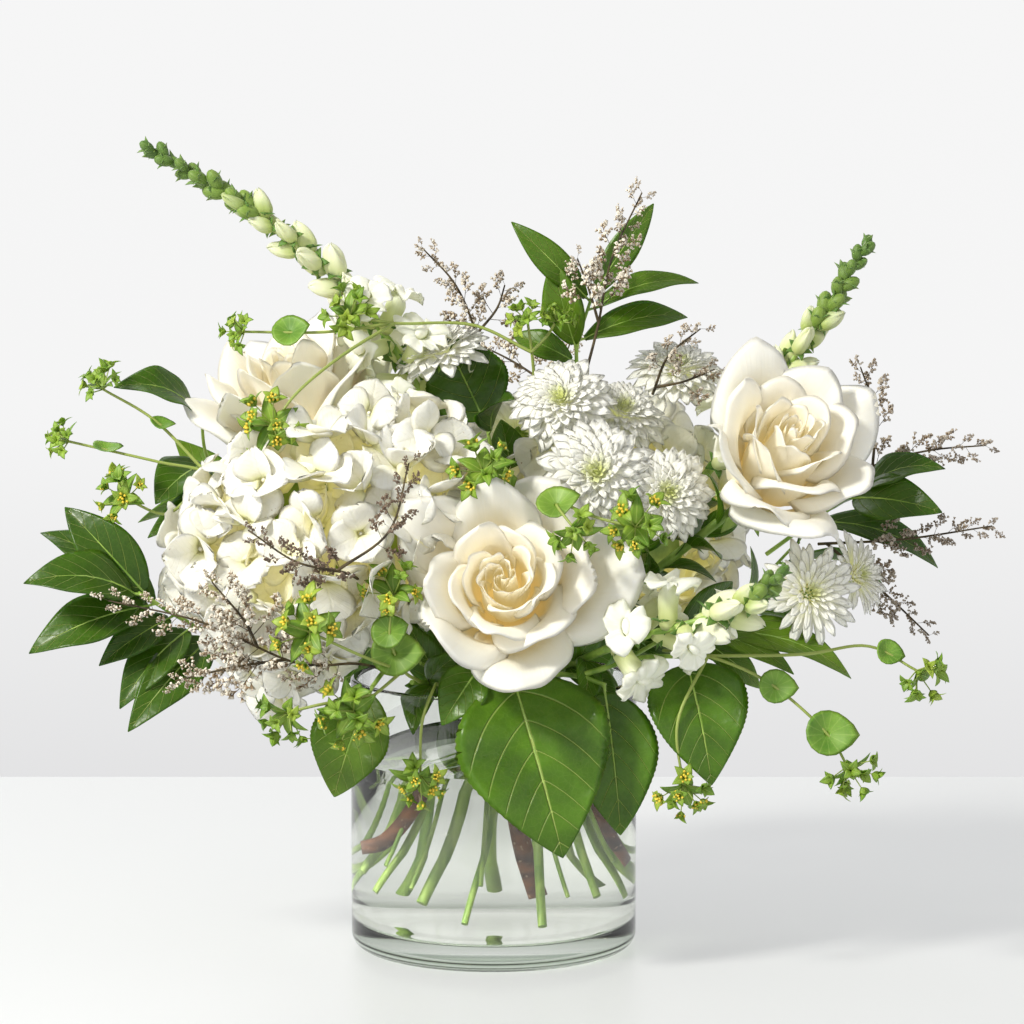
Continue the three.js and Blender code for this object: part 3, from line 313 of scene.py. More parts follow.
def frame_at(place, facing, twist=0.0):
    """A matrix that stands a bloom drawn round +Z at a place, looking along facing."""
    turn = Vector((0, 0, 1)).rotation_difference(Vector(facing).normalized())
    spin = Quaternion((0, 0, 1), twist)
    return Matrix.Translation(Vector(place) * MM) @ (turn @ spin).to_matrix().to_4x4()


def ease(x):
    """A soft step from 0 to 1."""
    x = np.clip(x, 0, 1)
    return x * x * (3 - 2 * x)


ANY_PHASE = 6.3


def waves(random, at, counts, low=-1.0, wave=np.sin):
    """A sum of waves, each of random height and phase, that makes an edge uneven."""
    return sum(random.uniform(low, 1) * wave(k * at + random.uniform(0, ANY_PHASE)) for k in counts)

# %% [markdown]
# A finished piece is one mesh at the origin. It rides on the only body there is, and stands
# for the CAD node of the same place.

# %% Making a piece
def piece(name, meshes, slot, *nodes):
    """Joins meshes into one object that replaces the given nodes."""
    objects = [bpy.data.objects.new(name, mesh) for mesh in meshes]
    for made in objects:
        bpy.context.scene.collection.objects.link(made)
    if len(objects) > 1:
        with bpy.context.temp_override(active_object=objects[0], object=objects[0],
                                       selected_objects=objects, selected_editable_objects=objects):
            bpy.ops.object.join()
    made = objects[0]
    made.data.name = name
    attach(made, "root")
    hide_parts(*nodes)
    print(f"{name}: {len(made.data.polygons)} faces")

# %% [markdown]
# Finishes. Each material is drawn by a function that gets the graph and returns what goes into
# the Principled shader. Petals let a little light through, so they have some subsurface weight,
# and a faint glow, stronger deep in a bloom, stands in for the light that one petal throws on
# the next. A colour is built up in coats: a ground, then what lies over it, each by its own mask.

# %% Finishes: helpers
def shade(code):
    """A colour written as six hex digits, as the linear values that shaders use."""
    parts = [int(code[k:k + 2], 16) / 255 for k in (0, 2, 4)]
    return tuple(c / 12.92 if c <= 0.04045 else ((c + 0.055) / 1.055) ** 2.4 for c in parts)


def finish(name, draw):
    """A material whose Principled shader gets what a function draws on its graph."""
    material = bpy.data.materials.new(name)
    material.use_nodes = True
    graph = Graph(material.node_tree)
    surface = graph.node("ShaderNodeBsdfPrincipled", {}, draw(graph))
    graph.node("ShaderNodeOutputMaterial", {}, {"Surface": surface})
    return material


def petal_uv(graph):
    return graph.node("ShaderNodeUVMap", {"uv_map": "UVMap"})


def side_to_side(graph):
    """0 at one side of a petal or leaf and 1 at the other."""
    return graph.node("ShaderNodeSeparateXYZ", {}, {0: petal_uv(graph)})


def root_to_tip(graph):
    """0 at the root of a petal or leaf and 1 at its tip."""
    return side_to_side(graph).of("Y")


def from_midrib(graph):
    """0 on the middle line of a petal or leaf and 1 at its sides."""
    return abs(side_to_side(graph) * 2 - 1)


def object_place(graph):
    return graph.node("ShaderNodeTexCoord").of("Object")


def mottling(graph, scale, detail):
    """Soft patches, so many of them in a metre."""
    return graph.noise(object_place(graph), scale, detail)


def streaks(graph, vector, counts, detail):
    """Patches drawn out along a petal or a stem, by how many there are along each axis."""
    stretched = graph.node("ShaderNodeMapping", {}, {"Vector": vector, "Scale": counts})
    return graph.noise(stretched, 1.0, detail)


def bump(graph, height, strength, distance):
    return graph.node("ShaderNodeBump", {}, {"Height": height, "Strength": strength, "Distance": distance})


PETAL_GLOW = {"Subsurface Weight": 0.3, "Subsurface Radius": (1.0, 0.85, 0.6), "Subsurface Scale": 0.004,
              "Roughness": 0.55, "Sheen Weight": 0.15, "Sheen Roughness": 0.5}

# %% Rose petals: cream, warmer towards the root and the heart (in the heart partly painted warm light), with fine veins along them, and a painted glow deep in the bloom
def draw_rose_petal(g):
    v, heart, draw = root_to_tip(g), g.attribute("part"), g.attribute("draw")
    veins = streaks(g, petal_uv(g), (46, 2.5, 1), 4)
    mottle = mottling(g, 70, 3)
    warm = g.mix(g.smooth(v, 0.05, 0.6), shade("f3dfaa"), shade("f7eed2"))
    pale = g.mix(g.smooth(v, 0.30, 0.95), warm, shade("f6f4ea"))
    # Inner petals are warmer: partly their own tone, partly painted warm light that passes between them.
    heart_tint_and_painted_warmth = g.mix(g.smooth(heart, 0.1, 0.9) * 0.35, pale, shade("f4e8c8"))
    tinted = g.mix(draw * 0.15, heart_tint_and_painted_warmth, shade("f2dcae"))
    streaked = g.mix(g.smooth(veins, 0.5, 0.8) * 0.10, tinted, shade("ecd4a2"))
    colour = g.mix(g.smooth(mottle, 0.5, 0.8) * 0.05, streaked, shade("e9dcbc"))
    # Painted light: an emission, strongest at the petal roots and in the heart, stands in for light bounced
    # between the petals.
    deep = (1 - g.smooth(v, 0.1, 0.8)) * 0.5 + g.smooth(heart, 0.1, 0.7) * 0.5
    painted_light_glow = g.mix(deep, shade("1c1b12"), shade("9c8c5c"))
    return {"Base Color": colour, "Normal": bump(g, veins, 0.3, 0.0005),
            "Emission Color": painted_light_glow, "Emission Strength": 0.55, **PETAL_GLOW}

# %% Hydrangea sepals: ivory, green yellow at the root, with veins and a few brown specks; painted shade on the deeper florets and a painted glow deep in the head
def draw_hydrangea_petal(g):
    v, side = root_to_tip(g), from_midrib(g)
    part, draw = g.attribute("part"), g.attribute("draw")
    ladder = ((v - side * 0.45) * 7.0).math("FRACT")
    vein = (1 - g.smooth(abs(ladder - 0.5), 0.02, 0.14)) * 0.5 + (1 - g.smooth(side, 0.0, 0.10))
    mottle = mottling(g, 45, 4)
    speck = g.smooth(mottling(g, 420, 2), 0.70, 0.76) * g.smooth(v, 0.45, 0.9)
    pale = g.mix(g.smooth(mottle, 0.35, 0.7), shade("f5f4ec"), shade("efecdc"))
    rooted = g.mix(1 - g.smooth(v, 0.0, 0.34), pale, shade("dedfa8"))
    aged = g.mix(g.smooth(draw, 0.5, 1.0) * 0.35, rooted, shade("ece8c2"))
    # Painted shade: florets of the deeper layer are yellower and darker, for the pale yellow shade deep in
    # the head.
    deep = g.mix(part * 0.6, aged, shade("e8e2b0"))
    veined = g.mix(vein * 0.12, deep, shade("d2d0a6"))
    colour = g.mix(speck * 0.75, veined, shade("9a6a35"))
    # Painted light: the sepals glow, most in the deeper layer and at their roots, for light bounced between
    # the florets.
    painted_light_glow = g.mix(part * 0.7 + (1 - g.smooth(v, 0.1, 0.7)) * 0.3, shade("232115"), shade("a39a5c"))
    height = streaks(g, petal_uv(g), (9, 9, 1), 4) * 0.8 - vein * 0.5
    return {"Base Color": colour, "Normal": bump(g, height, 0.4, 0.0008),
            "Emission Color": painted_light_glow, "Emission Strength": 0.48, **PETAL_GLOW}

# %% Mum rays: white, green yellow in the young middle, with three fine ribs along each, and a painted glow towards their roots
# How far a sine runs over the breadth of a ray, in radians: three waves, so three ribs.
RIB_WAVE = 18.85


def draw_mum_petal(g):
    v, share, draw = root_to_tip(g), g.attribute("share"), g.attribute("draw")
    ribs = (side_to_side(g) * RIB_WAVE).math("SINE")
    white = g.mix(g.smooth(v, 0.0, 0.45), shade("e6e9b4"), shade("f8f7ee"))
    young = g.mix(1 - g.smooth(share, 0.0, 0.24), white, shade("d3da7c"))
    disc = g.mix(g.attribute("part"), young, shade("bfae3a"))
    colour = g.mix(draw * 0.10, disc, shade("ebebd2"))
    # Painted light: the rays glow a little towards their roots, for light bounced between the crowded rays.
    painted_light_glow = g.mix(1 - g.smooth(v, 0.1, 0.8), shade("3a3a31"), shade("98996a"))
    return {"Base Color": colour, "Normal": bump(g, ribs, 0.3, 0.0004),
            "Emission Color": painted_light_glow, "Emission Strength": 0.5, **PETAL_GLOW}

# %% Snapdragon: green at the tip of the spike, through pale green, to white at its foot, and a painted glow in the open florets
def draw_snapdragon_petal(g):
    v, share = root_to_tip(g), g.attribute("share")
    draw, part = g.attribute("draw"), g.attribute("part")
    lines = streaks(g, petal_uv(g), (24, 2, 1), 3)
    in_bloom, in_cup = g.smooth(part, 0.4, 0.6), g.smooth(part, 1.4, 1.6)
    bud = g.node("ShaderNodeValToRGB", {"stops": [
        (0.0, shade("4a6e1e")), (0.35, shade("7f9a3a")), (0.6, shade("b7c474")),
        (0.85, shade("dbe0ae")), (1.0, shade("eceed6"))]}, {"Fac": share})
    open_floret = g.mix(g.smooth(v, 0.15, 0.7), shade("ccd58a"), shade("f0f0e4"))
    pod = g.mix(g.smooth(v, 0.3, 0.9) * g.smooth(share, 0.36, 0.5) * 0.5, bud, shade("f4f4e2"))
    petal = g.mix(in_bloom, pod, open_floret)
    calyx = g.mix(in_cup, petal, shade("48751f"))
    streaked = g.mix(g.smooth(lines, 0.5, 0.8) * 0.2, calyx, shade("c9d391"))
    colour = g.mix(draw * 0.08, streaked, shade("e9e6c0"))
    # Painted light: the open florets glow a little, for light that passes through their thin petals.
    painted_light_glow = g.mix(in_bloom * (1 - in_cup), shade("000000"), shade("5c6034"))
    return {"Base Color": colour, "Normal": bump(g, lines, 0.3, 0.0006),
            "Emission Color": painted_light_glow, "Emission Strength": 0.35, **PETAL_GLOW}

# %% Bupleurum: yellow green bracts with a paler rib, round a dot of tiny yellow flowers
SPOKES_OF_A_ROUND_LEAF = 13


def draw_bupleurum(g):
    v, side = root_to_tip(g), from_midrib(g)
    part, draw = g.attribute("part"), g.attribute("draw")
    patches = g.smooth(mottling(g, 90, 3), 0.3, 0.7)
    green = g.mix(patches, shade("5f8420"), shade("84a332"))
    tipped = g.mix(g.smooth(v, 0.6, 1.0) * 0.6, green, shade("55801e"))
    ribbed = g.mix((1 - g.smooth(side, 0.0, 0.12)) * 0.5, tipped, shade("b4c767"))
    flower = g.mix(g.smooth(part, 0.4, 0.6), ribbed, shade("e8cc46"))
    stem = g.mix(g.smooth(part, 1.4, 1.6), flower, shade("94a352"))
    spoke = (side_to_side(g) * SPOKES_OF_A_ROUND_LEAF).math("FRACT")
    on_spoke = (1 - g.smooth(abs(spoke - 0.5), 0.02, 0.12)) * g.smooth(v, 0.05, 0.3)
    disc = g.mix(patches, shade("527c20"), shade("759a34"))
    round_leaf = g.mix(on_spoke * 0.22, disc, shade("a9bf68"))
    leafy = g.mix(g.smooth(part, 2.4, 2.6), stem, round_leaf)
    colour = g.mix(g.smooth(draw, 0.2, 1.0) * 0.5, leafy, shade("b0bf48"))
    veins = streaks(g, petal_uv(g), (14, 2, 1), 3)
    return {"Base Color": colour, "Normal": bump(g, veins, 0.3, 0.0004), "Roughness": 0.5,
            "Subsurface Weight": 0.15, "Subsurface Radius": (0.6, 1.0, 0.2), "Subsurface Scale": 0.002}

# %% Sea lavender: brown green twigs, papery florets with a dark cup
def draw_lavender(g):
    in_floret = g.smooth(g.attribute("part"), 0.4, 0.6)
    mottle = mottling(g, 160, 3)
    twig = g.mix(g.smooth(mottle, 0.35, 0.65), shade("30281a"), shade("56492f"))
    floret = g.mix(g.smooth(root_to_tip(g), 0.35, 0.75), shade("8a704e"), shade("f8f3e6"))
    fresh = g.mix(in_floret, twig, floret)
    browned = g.mix(g.attribute("share") * in_floret, fresh, shade("5f4838"))
    colour = g.mix(g.attribute("draw") * 0.3 * in_floret, browned, shade("c9b8a0"))
    return {"Base Color": colour, "Roughness": 0.8, "Normal": bump(g, mottle, 0.3, 0.0004)}

# %% Leaves: a pale midrib, side veins that curve to the tip, and a fine net between them
SIDE_VEINS = 6.0
VEIN_RISE = 0.42


def leaf_finish(name, dark, light, vein, gloss):
    def draw_leaf(g):
        v, side, mottle = root_to_tip(g), from_midrib(g), mottling(g, 38, 4)
        rib = 1 - g.smooth(side, 0.008, 0.035)
        out_along_blade = side * v * (1 - v) * 4
        ladder = ((v - out_along_blade ** 1.15 * VEIN_RISE) * SIDE_VEINS).math("FRACT")
        side_vein = (1 - g.smooth(abs(ladder - 0.5), 0.008, 0.05)) * (1 - g.smooth(side, 0.75, 1.0))
        net = g.node("ShaderNodeTexVoronoi", {"feature": "DISTANCE_TO_EDGE"},
                     {"Vector": object_place(g), "Scale": 330.0})
        blade = g.mix(g.smooth(mottle, 0.3, 0.7) * 0.45 + 0.35, shade(dark), shade(light))
        varied = g.mix(g.attribute("draw") * 0.8, blade, shade(dark))
        veined = g.mix((rib * 0.9 + side_vein * 0.55) * 0.78, varied, shade(vein))
        colour = g.mix((1 - g.smooth(net, 0.0, 0.07)) * 0.05, veined, shade(vein))
        height = mottling(g, 150, 2) * 0.5 - rib * 0.8 - side_vein * 0.55
        return {"Base Color": colour, "Roughness": g.smooth(mottle, 0.2, 0.9) * 0.14 + gloss,
                "Normal": bump(g, height, 0.8, 0.0014), "Specular IOR Level": 0.32,
                "Subsurface Weight": 0.12, "Subsurface Radius": (0.4, 1.0, 0.15),
                "Subsurface Scale": 0.002}
    return finish(name, draw_leaf)

# %% Stems: green with pale streaks along them, and brown bark
def draw_stem(g):
    lines = streaks(g, object_place(g), (140, 140, 26), 4)
    green = g.mix(g.smooth(lines, 0.3, 0.7), shade("6c9430"), shade("a9c75e"))
    colour = g.mix(g.smooth(mottling(g, 30, 2), 0.5, 0.75) * 0.4, green, shade("c2d096"))
    return {"Base Color": colour, "Roughness": 0.42, "Normal": bump(g, lines, 0.4, 0.0008)}


def draw_bark(g):
    rings = streaks(g, object_place(g), (60, 60, 200), 5)
    bark = g.mix(g.smooth(rings, 0.3, 0.7), shade("46291a"), shade("8a5636"))
    colour = g.mix(g.smooth(mottling(g, 420, 1), 0.66, 0.72), bark, shade("b79b82"))
    return {"Base Color": colour, "Roughness": 0.7, "Normal": bump(g, rings, 0.7, 0.0015)}


MATERIALS = {
    "rose": finish("rose_petal", draw_rose_petal),
    "hydrangea": finish("hydrangea_petal", draw_hydrangea_petal),
    "mum": finish("mum_petal", draw_mum_petal),
    "snapdragon": finish("snapdragon_petal", draw_snapdragon_petal),
    "bupleurum": finish("bupleurum_bract", draw_bupleurum),
    "lavender": finish("lavender_floret", draw_lavender),
    "leaf": leaf_finish("leaf_green", "33560a", "7c9c20", "b4c46a", 0.32),
    "leaf_dark": leaf_finish("leaf_dark", "223e04", "5c861a", "a9ba66", 0.26),
    "stem": finish("stem_green", draw_stem),
    "wood": finish("stem_woody", draw_bark),
}
print("finishes:", sorted(MATERIALS))

# %% [markdown]
# Clear glass bends light, and a lamp reaches through it. A plain refracting shader would throw
# a black shadow, so for shadow rays alone it gives way to a nearly clear Transparent shader. The
# thick foot is greener of itself and darker by painted shade, so the colour changes with the
# height, from one to the other.

# %% Glass and water
FOOT_FADES = (0.006, 0.017)


def clear_finish(name, tint, foot_tint_and_shade, ior, shine, shadow):
    """Clear through and through, a little darker near the bottom. In the glass the thick foot is greener of
    itself and greyer by painted shade.
    """
    material = bpy.data.materials.new(name)
    material.use_nodes = True
    g = Graph(material.node_tree)
    height = g.node("ShaderNodeSeparateXYZ", {}, {0: object_place(g)}).of("Z")
    colour = g.mix(g.smooth(height, *FOOT_FADES), shade(foot_tint_and_shade), shade(tint))
    body = g.node("ShaderNodeBsdfPrincipled", {}, {
        "Base Color": colour, "Roughness": 0.0, "IOR": ior, "Specular IOR Level": shine,
        "Transmission Weight": 1.0})
    through = g.node("ShaderNodeBsdfTransparent", {}, {"Color": (*shade(shadow), 1)})
    lamp = g.node("ShaderNodeLightPath").of("Is Shadow Ray")
    surface = g.node("ShaderNodeMixShader", {}, {0: lamp, 1: body, 2: through})
    g.node("ShaderNodeOutputMaterial", {}, {"Surface": surface})
    return material


# The glass foot colour is the thick glass's own green and also painted shade; the water is a little darker at
# its bottom.
MATERIALS["glass"] = clear_finish("glass", "fafcf9", "aebbab", 1.5, 0.4, "f4f6f3")
MATERIALS["water"] = clear_finish("water", "fdfdfa", "f2f4ee", 1.333, 0.15, "fafbf9")

# %% [markdown]
# The vase is turned: one profile swept round its axis. The foot's edge and the lip are rounded,
# because light catches there first. The floor is thick and slightly cupped inside, and hollow
# below, so that the vase stands on a ring. The water is a body of its own with a profile that
# follows the inner wall. It goes a hair into the glass, because two faces at the very same place
# would flicker, and it climbs a little up the wall at its edge.

# %% Turning a profile
def arc(centre, radius, start, end, count):
    turn = np.linspace(math.radians(start), math.radians(end), count)
    return [(centre[0] + radius * math.cos(a), centre[1] + radius * math.sin(a)) for a in turn]


def turned(profile, around=160):
    """Closed skin of a profile of (radius, height) pairs that starts and ends near the axis."""
    pairs = np.array(profile, float)
    turn = np.linspace(0, 2 * math.pi, around, endpoint=False)
    grid = np.stack([pairs[:, :1] * np.cos(turn), pairs[:, :1] * np.sin(turn),
                     np.repeat(pairs[:, 1:], around, axis=1)], axis=-1)
    skin = Sheets()
    skin.shell(grid)
    return skin

# %% The vase and its water: profiles of (radius, height), from the axis out and back to it
OUTER = VASE_DIAMETER / 2
INNER = OUTER - VASE_WALL
LIP = VASE_WALL / 2
FLOOR_ROUND = 9
NEAR_AXIS = 0.5
WALL_LOW, WALL_HIGH = 60, 110
vase_profile = [
    (NEAR_AXIS, 1.7), (OUTER - 32, 1.5), (OUTER - 23, 0.8), (OUTER - 17, 0.0),
    *arc((OUTER - VASE_FOOT_ROUND, VASE_FOOT_ROUND), VASE_FOOT_ROUND, -80, 0, 12),
    (OUTER, WALL_LOW), (OUTER, WALL_HIGH),
    *arc((OUTER - LIP, VASE_HEIGHT - LIP), LIP, 0, 180, 12),
    (INNER, WALL_HIGH), (INNER, WALL_LOW),
    *arc((INNER - FLOOR_ROUND, VASE_FLOOR + FLOOR_ROUND), FLOOR_ROUND, 0, -80, 12),
    (INNER - 22, VASE_FLOOR - 0.5), (INNER - 40, VASE_FLOOR - 1.2),
    (NEAR_AXIS, VASE_FLOOR - 1.8),
]
piece("vase_glass", [turned(vase_profile).mesh("vase_glass", [MATERIALS["glass"]])], "glass", "vase")

BLEND = 0.2
water_profile = [
    (NEAR_AXIS, VASE_FLOOR - 1.6), (INNER - 40, VASE_FLOOR - 1.0), (INNER - 22, VASE_FLOOR - 0.3),
    *arc((INNER - FLOOR_ROUND + BLEND, VASE_FLOOR + FLOOR_ROUND), FLOOR_ROUND, -80, 0, 12),
    (INNER + BLEND, WALL_LOW), (INNER + BLEND, WATER_LEVEL + 0.8),
    (INNER - 0.8, WATER_LEVEL + 0.35), (INNER - 2.4, WATER_LEVEL), (NEAR_AXIS, WATER_LEVEL),
]
piece("vase_water", [turned(water_profile).mesh("vase_water", [MATERIALS["water"]])], "water", "water")

# %% [markdown]
# Four Geometry Nodes trees make what repeats: a tube along routes, items set round a twig by
# the golden angle, rays round the heart of a flower, and florets over a dome. Copying each item
# by hand would be slow to write and to change. Each tree has named inputs, and those that pick
# at random have a seed. It is run on a throwaway object, and its result is kept as a plain mesh,
# with every item made real.

# %% Geometry Nodes: a tree with named inputs
GEOMETRY, NUMBER, WHOLE = "NodeSocketGeometry", "NodeSocketFloat", "NodeSocketInt"
VECTOR, GROUP, MATERIAL = "NodeSocketVector", "NodeSocketCollection", "NodeSocketMaterial"
# Items are picked by a number up to this one, and a number past the last item wraps round.
MOST_KINDS = 50


def title(label):
    return label.replace("_", " ").title()


class Grower(Graph):
    """A Geometry Nodes tree that grows plain meshes."""

    def __init__(self, name, **inputs):
        super().__init__(bpy.data.node_groups.new(name, "GeometryNodeTree"))
        face = self.tree.interface
        face.new_socket("Geometry", in_out="OUTPUT", socket_type=GEOMETRY)
        self.keys = {}
        for label, kind in {"source": GEOMETRY, **inputs, "material": MATERIAL}.items():
            made = face.new_socket(title(label), in_out="INPUT", socket_type=kind)
            self.keys[label] = made.identifier
        self.entry = self.tree.nodes.new("NodeGroupInput")
        print(f"tree {name} takes", ", ".join(self.keys))

    def take(self, label):
        return Wire(self, self.entry.outputs[title(label)])

    def vector(self, x, y, z):
        return self.node("ShaderNodeCombineXYZ", {}, {"X": x, "Y": y, "Z": z})

    def turn(self, x, y, z):
        return self.node("FunctionNodeEulerToRotation", {}, {"Euler": self.vector(x, y, z)})

    def random(self, low, high, offset):
        """A random number for each item. Each use has its own offset, so that no two agree."""
        return self.node("FunctionNodeRandomValue", {"data_type": "FLOAT"},
                         {2: low, 3: high, "Seed": self.take("seed") + offset}, out=1)

    def between(self, start, end, share):
        return self.node("ShaderNodeMix", {"data_type": "FLOAT"}, {0: share, 2: start, 3: end})

    def store(self, geometry, name, value, domain="POINT"):
        return self.node("GeometryNodeStoreNamedAttribute", {"data_type": "FLOAT", "domain": domain},
                         {"Geometry": geometry, "Name": name, "Value": value})

    def stored(self, name):
        return self.node("GeometryNodeInputNamedAttribute", {"data_type": "FLOAT"}, {"Name": name})

    def scatter(self, points, rotation, size):
        """One of the items, picked at random, at each point and at about the given size."""
        items = self.node("GeometryNodeCollectionInfo", {}, {
            "Collection": self.take("items"), "Separate Children": True, "Reset Children": True})
        jitter = self.take("size_jitter")
        size = size * self.random(1 - jitter, 1 + jitter, 1)
        pick = self.node("FunctionNodeRandomValue", {"data_type": "INT"},
                         {4: 0, 5: MOST_KINDS, "Seed": self.take("seed")}, out=2)
        return self.node("GeometryNodeInstanceOnPoints", {}, {
            "Points": points, "Instance": items, "Pick Instance": True, "Instance Index": pick,
            "Rotation": rotation, "Scale": self.vector(size, size, size)})

    def turned(self, items, x, y, z):
        """Items turned about their own axes."""
        return self.node("GeometryNodeRotateInstances", {}, {
            "Instances": items, "Rotation": self.turn(x, y, z), "Local Space": True})

    def finish_items(self, items):
        """Gives every item a random draw of its own, for its colour, and ends the tree."""
        self.finish(self.store(items, "draw", self.random(0.0, 1.0, 4), "INSTANCE"))

    def finish(self, geometry):
        real = self.node("GeometryNodeRealizeInstances", {}, {"Geometry": geometry})
        smooth = self.node("GeometryNodeSetShadeSmooth", {}, {"Geometry": real})
        dressed = self.node("GeometryNodeSetMaterial", {},
                            {"Geometry": smooth, "Material": self.take("material")})
        self.node("NodeGroupOutput", {}, {"Geometry": dressed})

    def grow(self, name, source=None, **values):
        """Runs the tree on a throwaway object and keeps what it makes as a plain mesh."""
        carrier = bpy.data.objects.new(name, source or bpy.data.meshes.new(name))
        bpy.context.scene.collection.objects.link(carrier)
        modifier = carrier.modifiers.new(name, "NODES")
        modifier.node_group = self.tree
        for label, value in values.items():
            modifier[self.keys[label]] = value
        graph = bpy.context.evaluated_depsgraph_get()
        mesh = bpy.data.meshes.new_from_object(carrier.evaluated_get(graph), depsgraph=graph)
        old = carrier.data
        bpy.data.objects.remove(carrier)
        bpy.data.meshes.remove(old)
        mesh.name = name
        return mesh

# %% Tube tree: a round skin along routes, as thick as each point says
tube_tree = Grower("tube_along_routes", sides=WHOLE, part=NUMBER)
t = tube_tree
lines = t.node("GeometryNodeMeshToCurve", {}, {"Mesh": t.take("source")})
ring = t.node("GeometryNodeCurvePrimitiveCircle", {}, {"Resolution": t.take("sides"), "Radius": 1.0})
skin = t.node("GeometryNodeCurveToMesh", {}, {
    "Curve": lines, "Profile Curve": ring, "Scale": t.stored("girth"), "Fill Caps": True})
t.finish(t.store(skin, "part", t.take("part")))


def wires(routes, girths):
    """Routes in millimetres as a mesh of edges. A girth is one radius, or a start and an end."""
    mesh = bpy.data.meshes.new("routes")
    points, edges, sizes = [], [], []
    for route, girth in zip(routes, girths):
        start = len(points)
        points.extend((np.array(route) * MM).tolist())
        edges.extend((start + k, start + k + 1) for k in range(len(route) - 1))
        first, last = girth if isinstance(girth, tuple) else (girth, girth)
        sizes.extend(np.linspace(first, last, len(route)) * MM)
    mesh.from_pydata(points, edges, [])
    mesh.attributes.new("girth", "FLOAT", "POINT").data.foreach_set("value", np.array(sizes, np.float32))
    return mesh


def tubes(name, routes, girths, material, sides=8, part=0.0):
    """Round skins along routes, from the tube tree."""
    return tube_tree.grow(name, wires(routes, girths), sides=sides, part=part, material=material)

# %% Sprig tree: items set round each route, a golden angle apart, leaning off it
sprig_tree = Grower("sprigs_round_a_twig", items=GROUP, spacing=NUMBER, start=NUMBER, end=NUMBER,
                    size_start=NUMBER, size_end=NUMBER, size_jitter=NUMBER, lean=NUMBER,
                    lean_jitter=NUMBER, share_start=NUMBER, share_end=NUMBER, seed=WHOLE)
t = sprig_tree
curve = t.node("GeometryNodeMeshToCurve", {}, {"Mesh": t.take("source")})
trimmed = t.node("GeometryNodeTrimCurve", {"mode": "FACTOR"},
                 {0: curve, 2: t.take("start"), 3: t.take("end")})
marked = t.store(trimmed, "along", t.node("GeometryNodeSplineParameter"))
beads = t.node("GeometryNodeCurveToPoints", {"mode": "LENGTH"}, {0: marked, 2: t.take("spacing")})
along = t.stored("along")
items = t.scatter(beads, beads.of("Rotation"), t.between(t.take("size_start"), t.take("size_end"), along))
spin = t.node("GeometryNodeInputIndex") * GOLDEN_ANGLE + t.random(-0.3, 0.3, 2)
lean = t.take("lean") + t.random(-1.0, 1.0, 3) * t.take("lean_jitter")
leaning = t.turned(t.turned(items, 0.0, 0.0, spin), 0.0, lean, 0.0)
share = t.between(t.take("share_start"), t.take("share_end"), along)
t.finish_items(t.store(leaning, "share", share, "INSTANCE"))

# %% Head trees: rays round a heart, and florets over a dome
def head_tree(name, **more):
    """Points by the golden angle over a dome, each with its share from the top, turn and lean."""
    t = Grower(name, items=GROUP, count=WHOLE, half_size=VECTOR, cover=NUMBER, size_top=NUMBER,
               size_edge=NUMBER, size_jitter=NUMBER, depth_jitter=NUMBER, seed=WHOLE, **more)
    index = t.node("GeometryNodeInputIndex")
    share = (index + 0.5) / t.take("count")
    turn = index * GOLDEN_ANGLE
    height = 1 - share * t.take("cover")
    around = (1 - height * height).math("MAXIMUM", 0.0).math("SQRT")
    half = t.node("ShaderNodeSeparateXYZ", {}, {0: t.take("half_size")})
    half_y, half_z = half.of("Y"), half.of("Z")
    depth = 1 + t.random(-1.0, 1.0, 9) * t.take("depth_jitter")
    place = t.vector(half * around * turn.math("COSINE") * depth,
                     half_y * around * turn.math("SINE") * depth, half_z * height * depth)
    beads = t.node("GeometryNodePoints", {}, {"Count": t.take("count"), "Position": place})
    beads = t.store(beads, "share", share)
    beads = t.store(beads, "turn", turn)
    return t, t.store(beads, "lean", (around / half).math("ARCTAN2", height / half_z))


def fading_size(t):
    """The size of an item, from the top of its head to the edge."""
    return t.between(t.take("size_top"), t.take("size_edge"), t.stored("share"))

# %% Ray tree: rays that stand up in the middle of a head and lie down at its edge
ray_tree, beads = head_tree("rays_round_a_heart", pitch_top=NUMBER, pitch_edge=NUMBER, pitch_jitter=NUMBER)
t = ray_tree
pitch = t.between(t.take("pitch_top"), t.take("pitch_edge"), t.stored("share") ** 0.8) \
    + t.random(-1.0, 1.0, 2) * t.take("pitch_jitter")
heading = t.stored("turn") + t.random(-0.12, 0.12, 3)
t.finish_items(t.scatter(beads, t.turn(t.random(-0.25, 0.25, 5), pitch * -1, heading), fading_size(t)))

# %% Dome tree: florets that face outwards, none of them inside a neighbouring bloom
NEIGHBOURS = 3
dome_tree, beads = head_tree("florets_over_a_dome", tilt_jitter=NUMBER,
                             **{f"beside_{k}": VECTOR for k in range(NEIGHBOURS)},
                             **{f"clear_{k}": NUMBER for k in range(NEIGHBOURS)})
t = dome_tree
for k in range(NEIGHBOURS):
    gap = t.node("ShaderNodeVectorMath", {"operation": "DISTANCE"},
                 {0: t.node("GeometryNodeInputPosition"), 1: t.take(f"beside_{k}")}, out=1)
    crowded = t.node("FunctionNodeCompare", {"data_type": "FLOAT", "operation": "LESS_THAN"},
                     {0: gap, 1: t.take(f"clear_{k}")})
    beads = t.node("GeometryNodeDeleteGeometry", {"domain": "POINT"}, {0: beads, 1: crowded})
tilt = t.take("tilt_jitter")
facing_out = t.scatter(beads, t.turn(0.0, t.stored("lean"), t.stored("turn")), fading_size(t))
t.finish_items(t.turned(facing_out, t.random(-1.0, 1.0, 2) * tilt, t.random(-1.0, 1.0, 3) * tilt,
                        t.random(0.0, FULL_TURN, 5)))

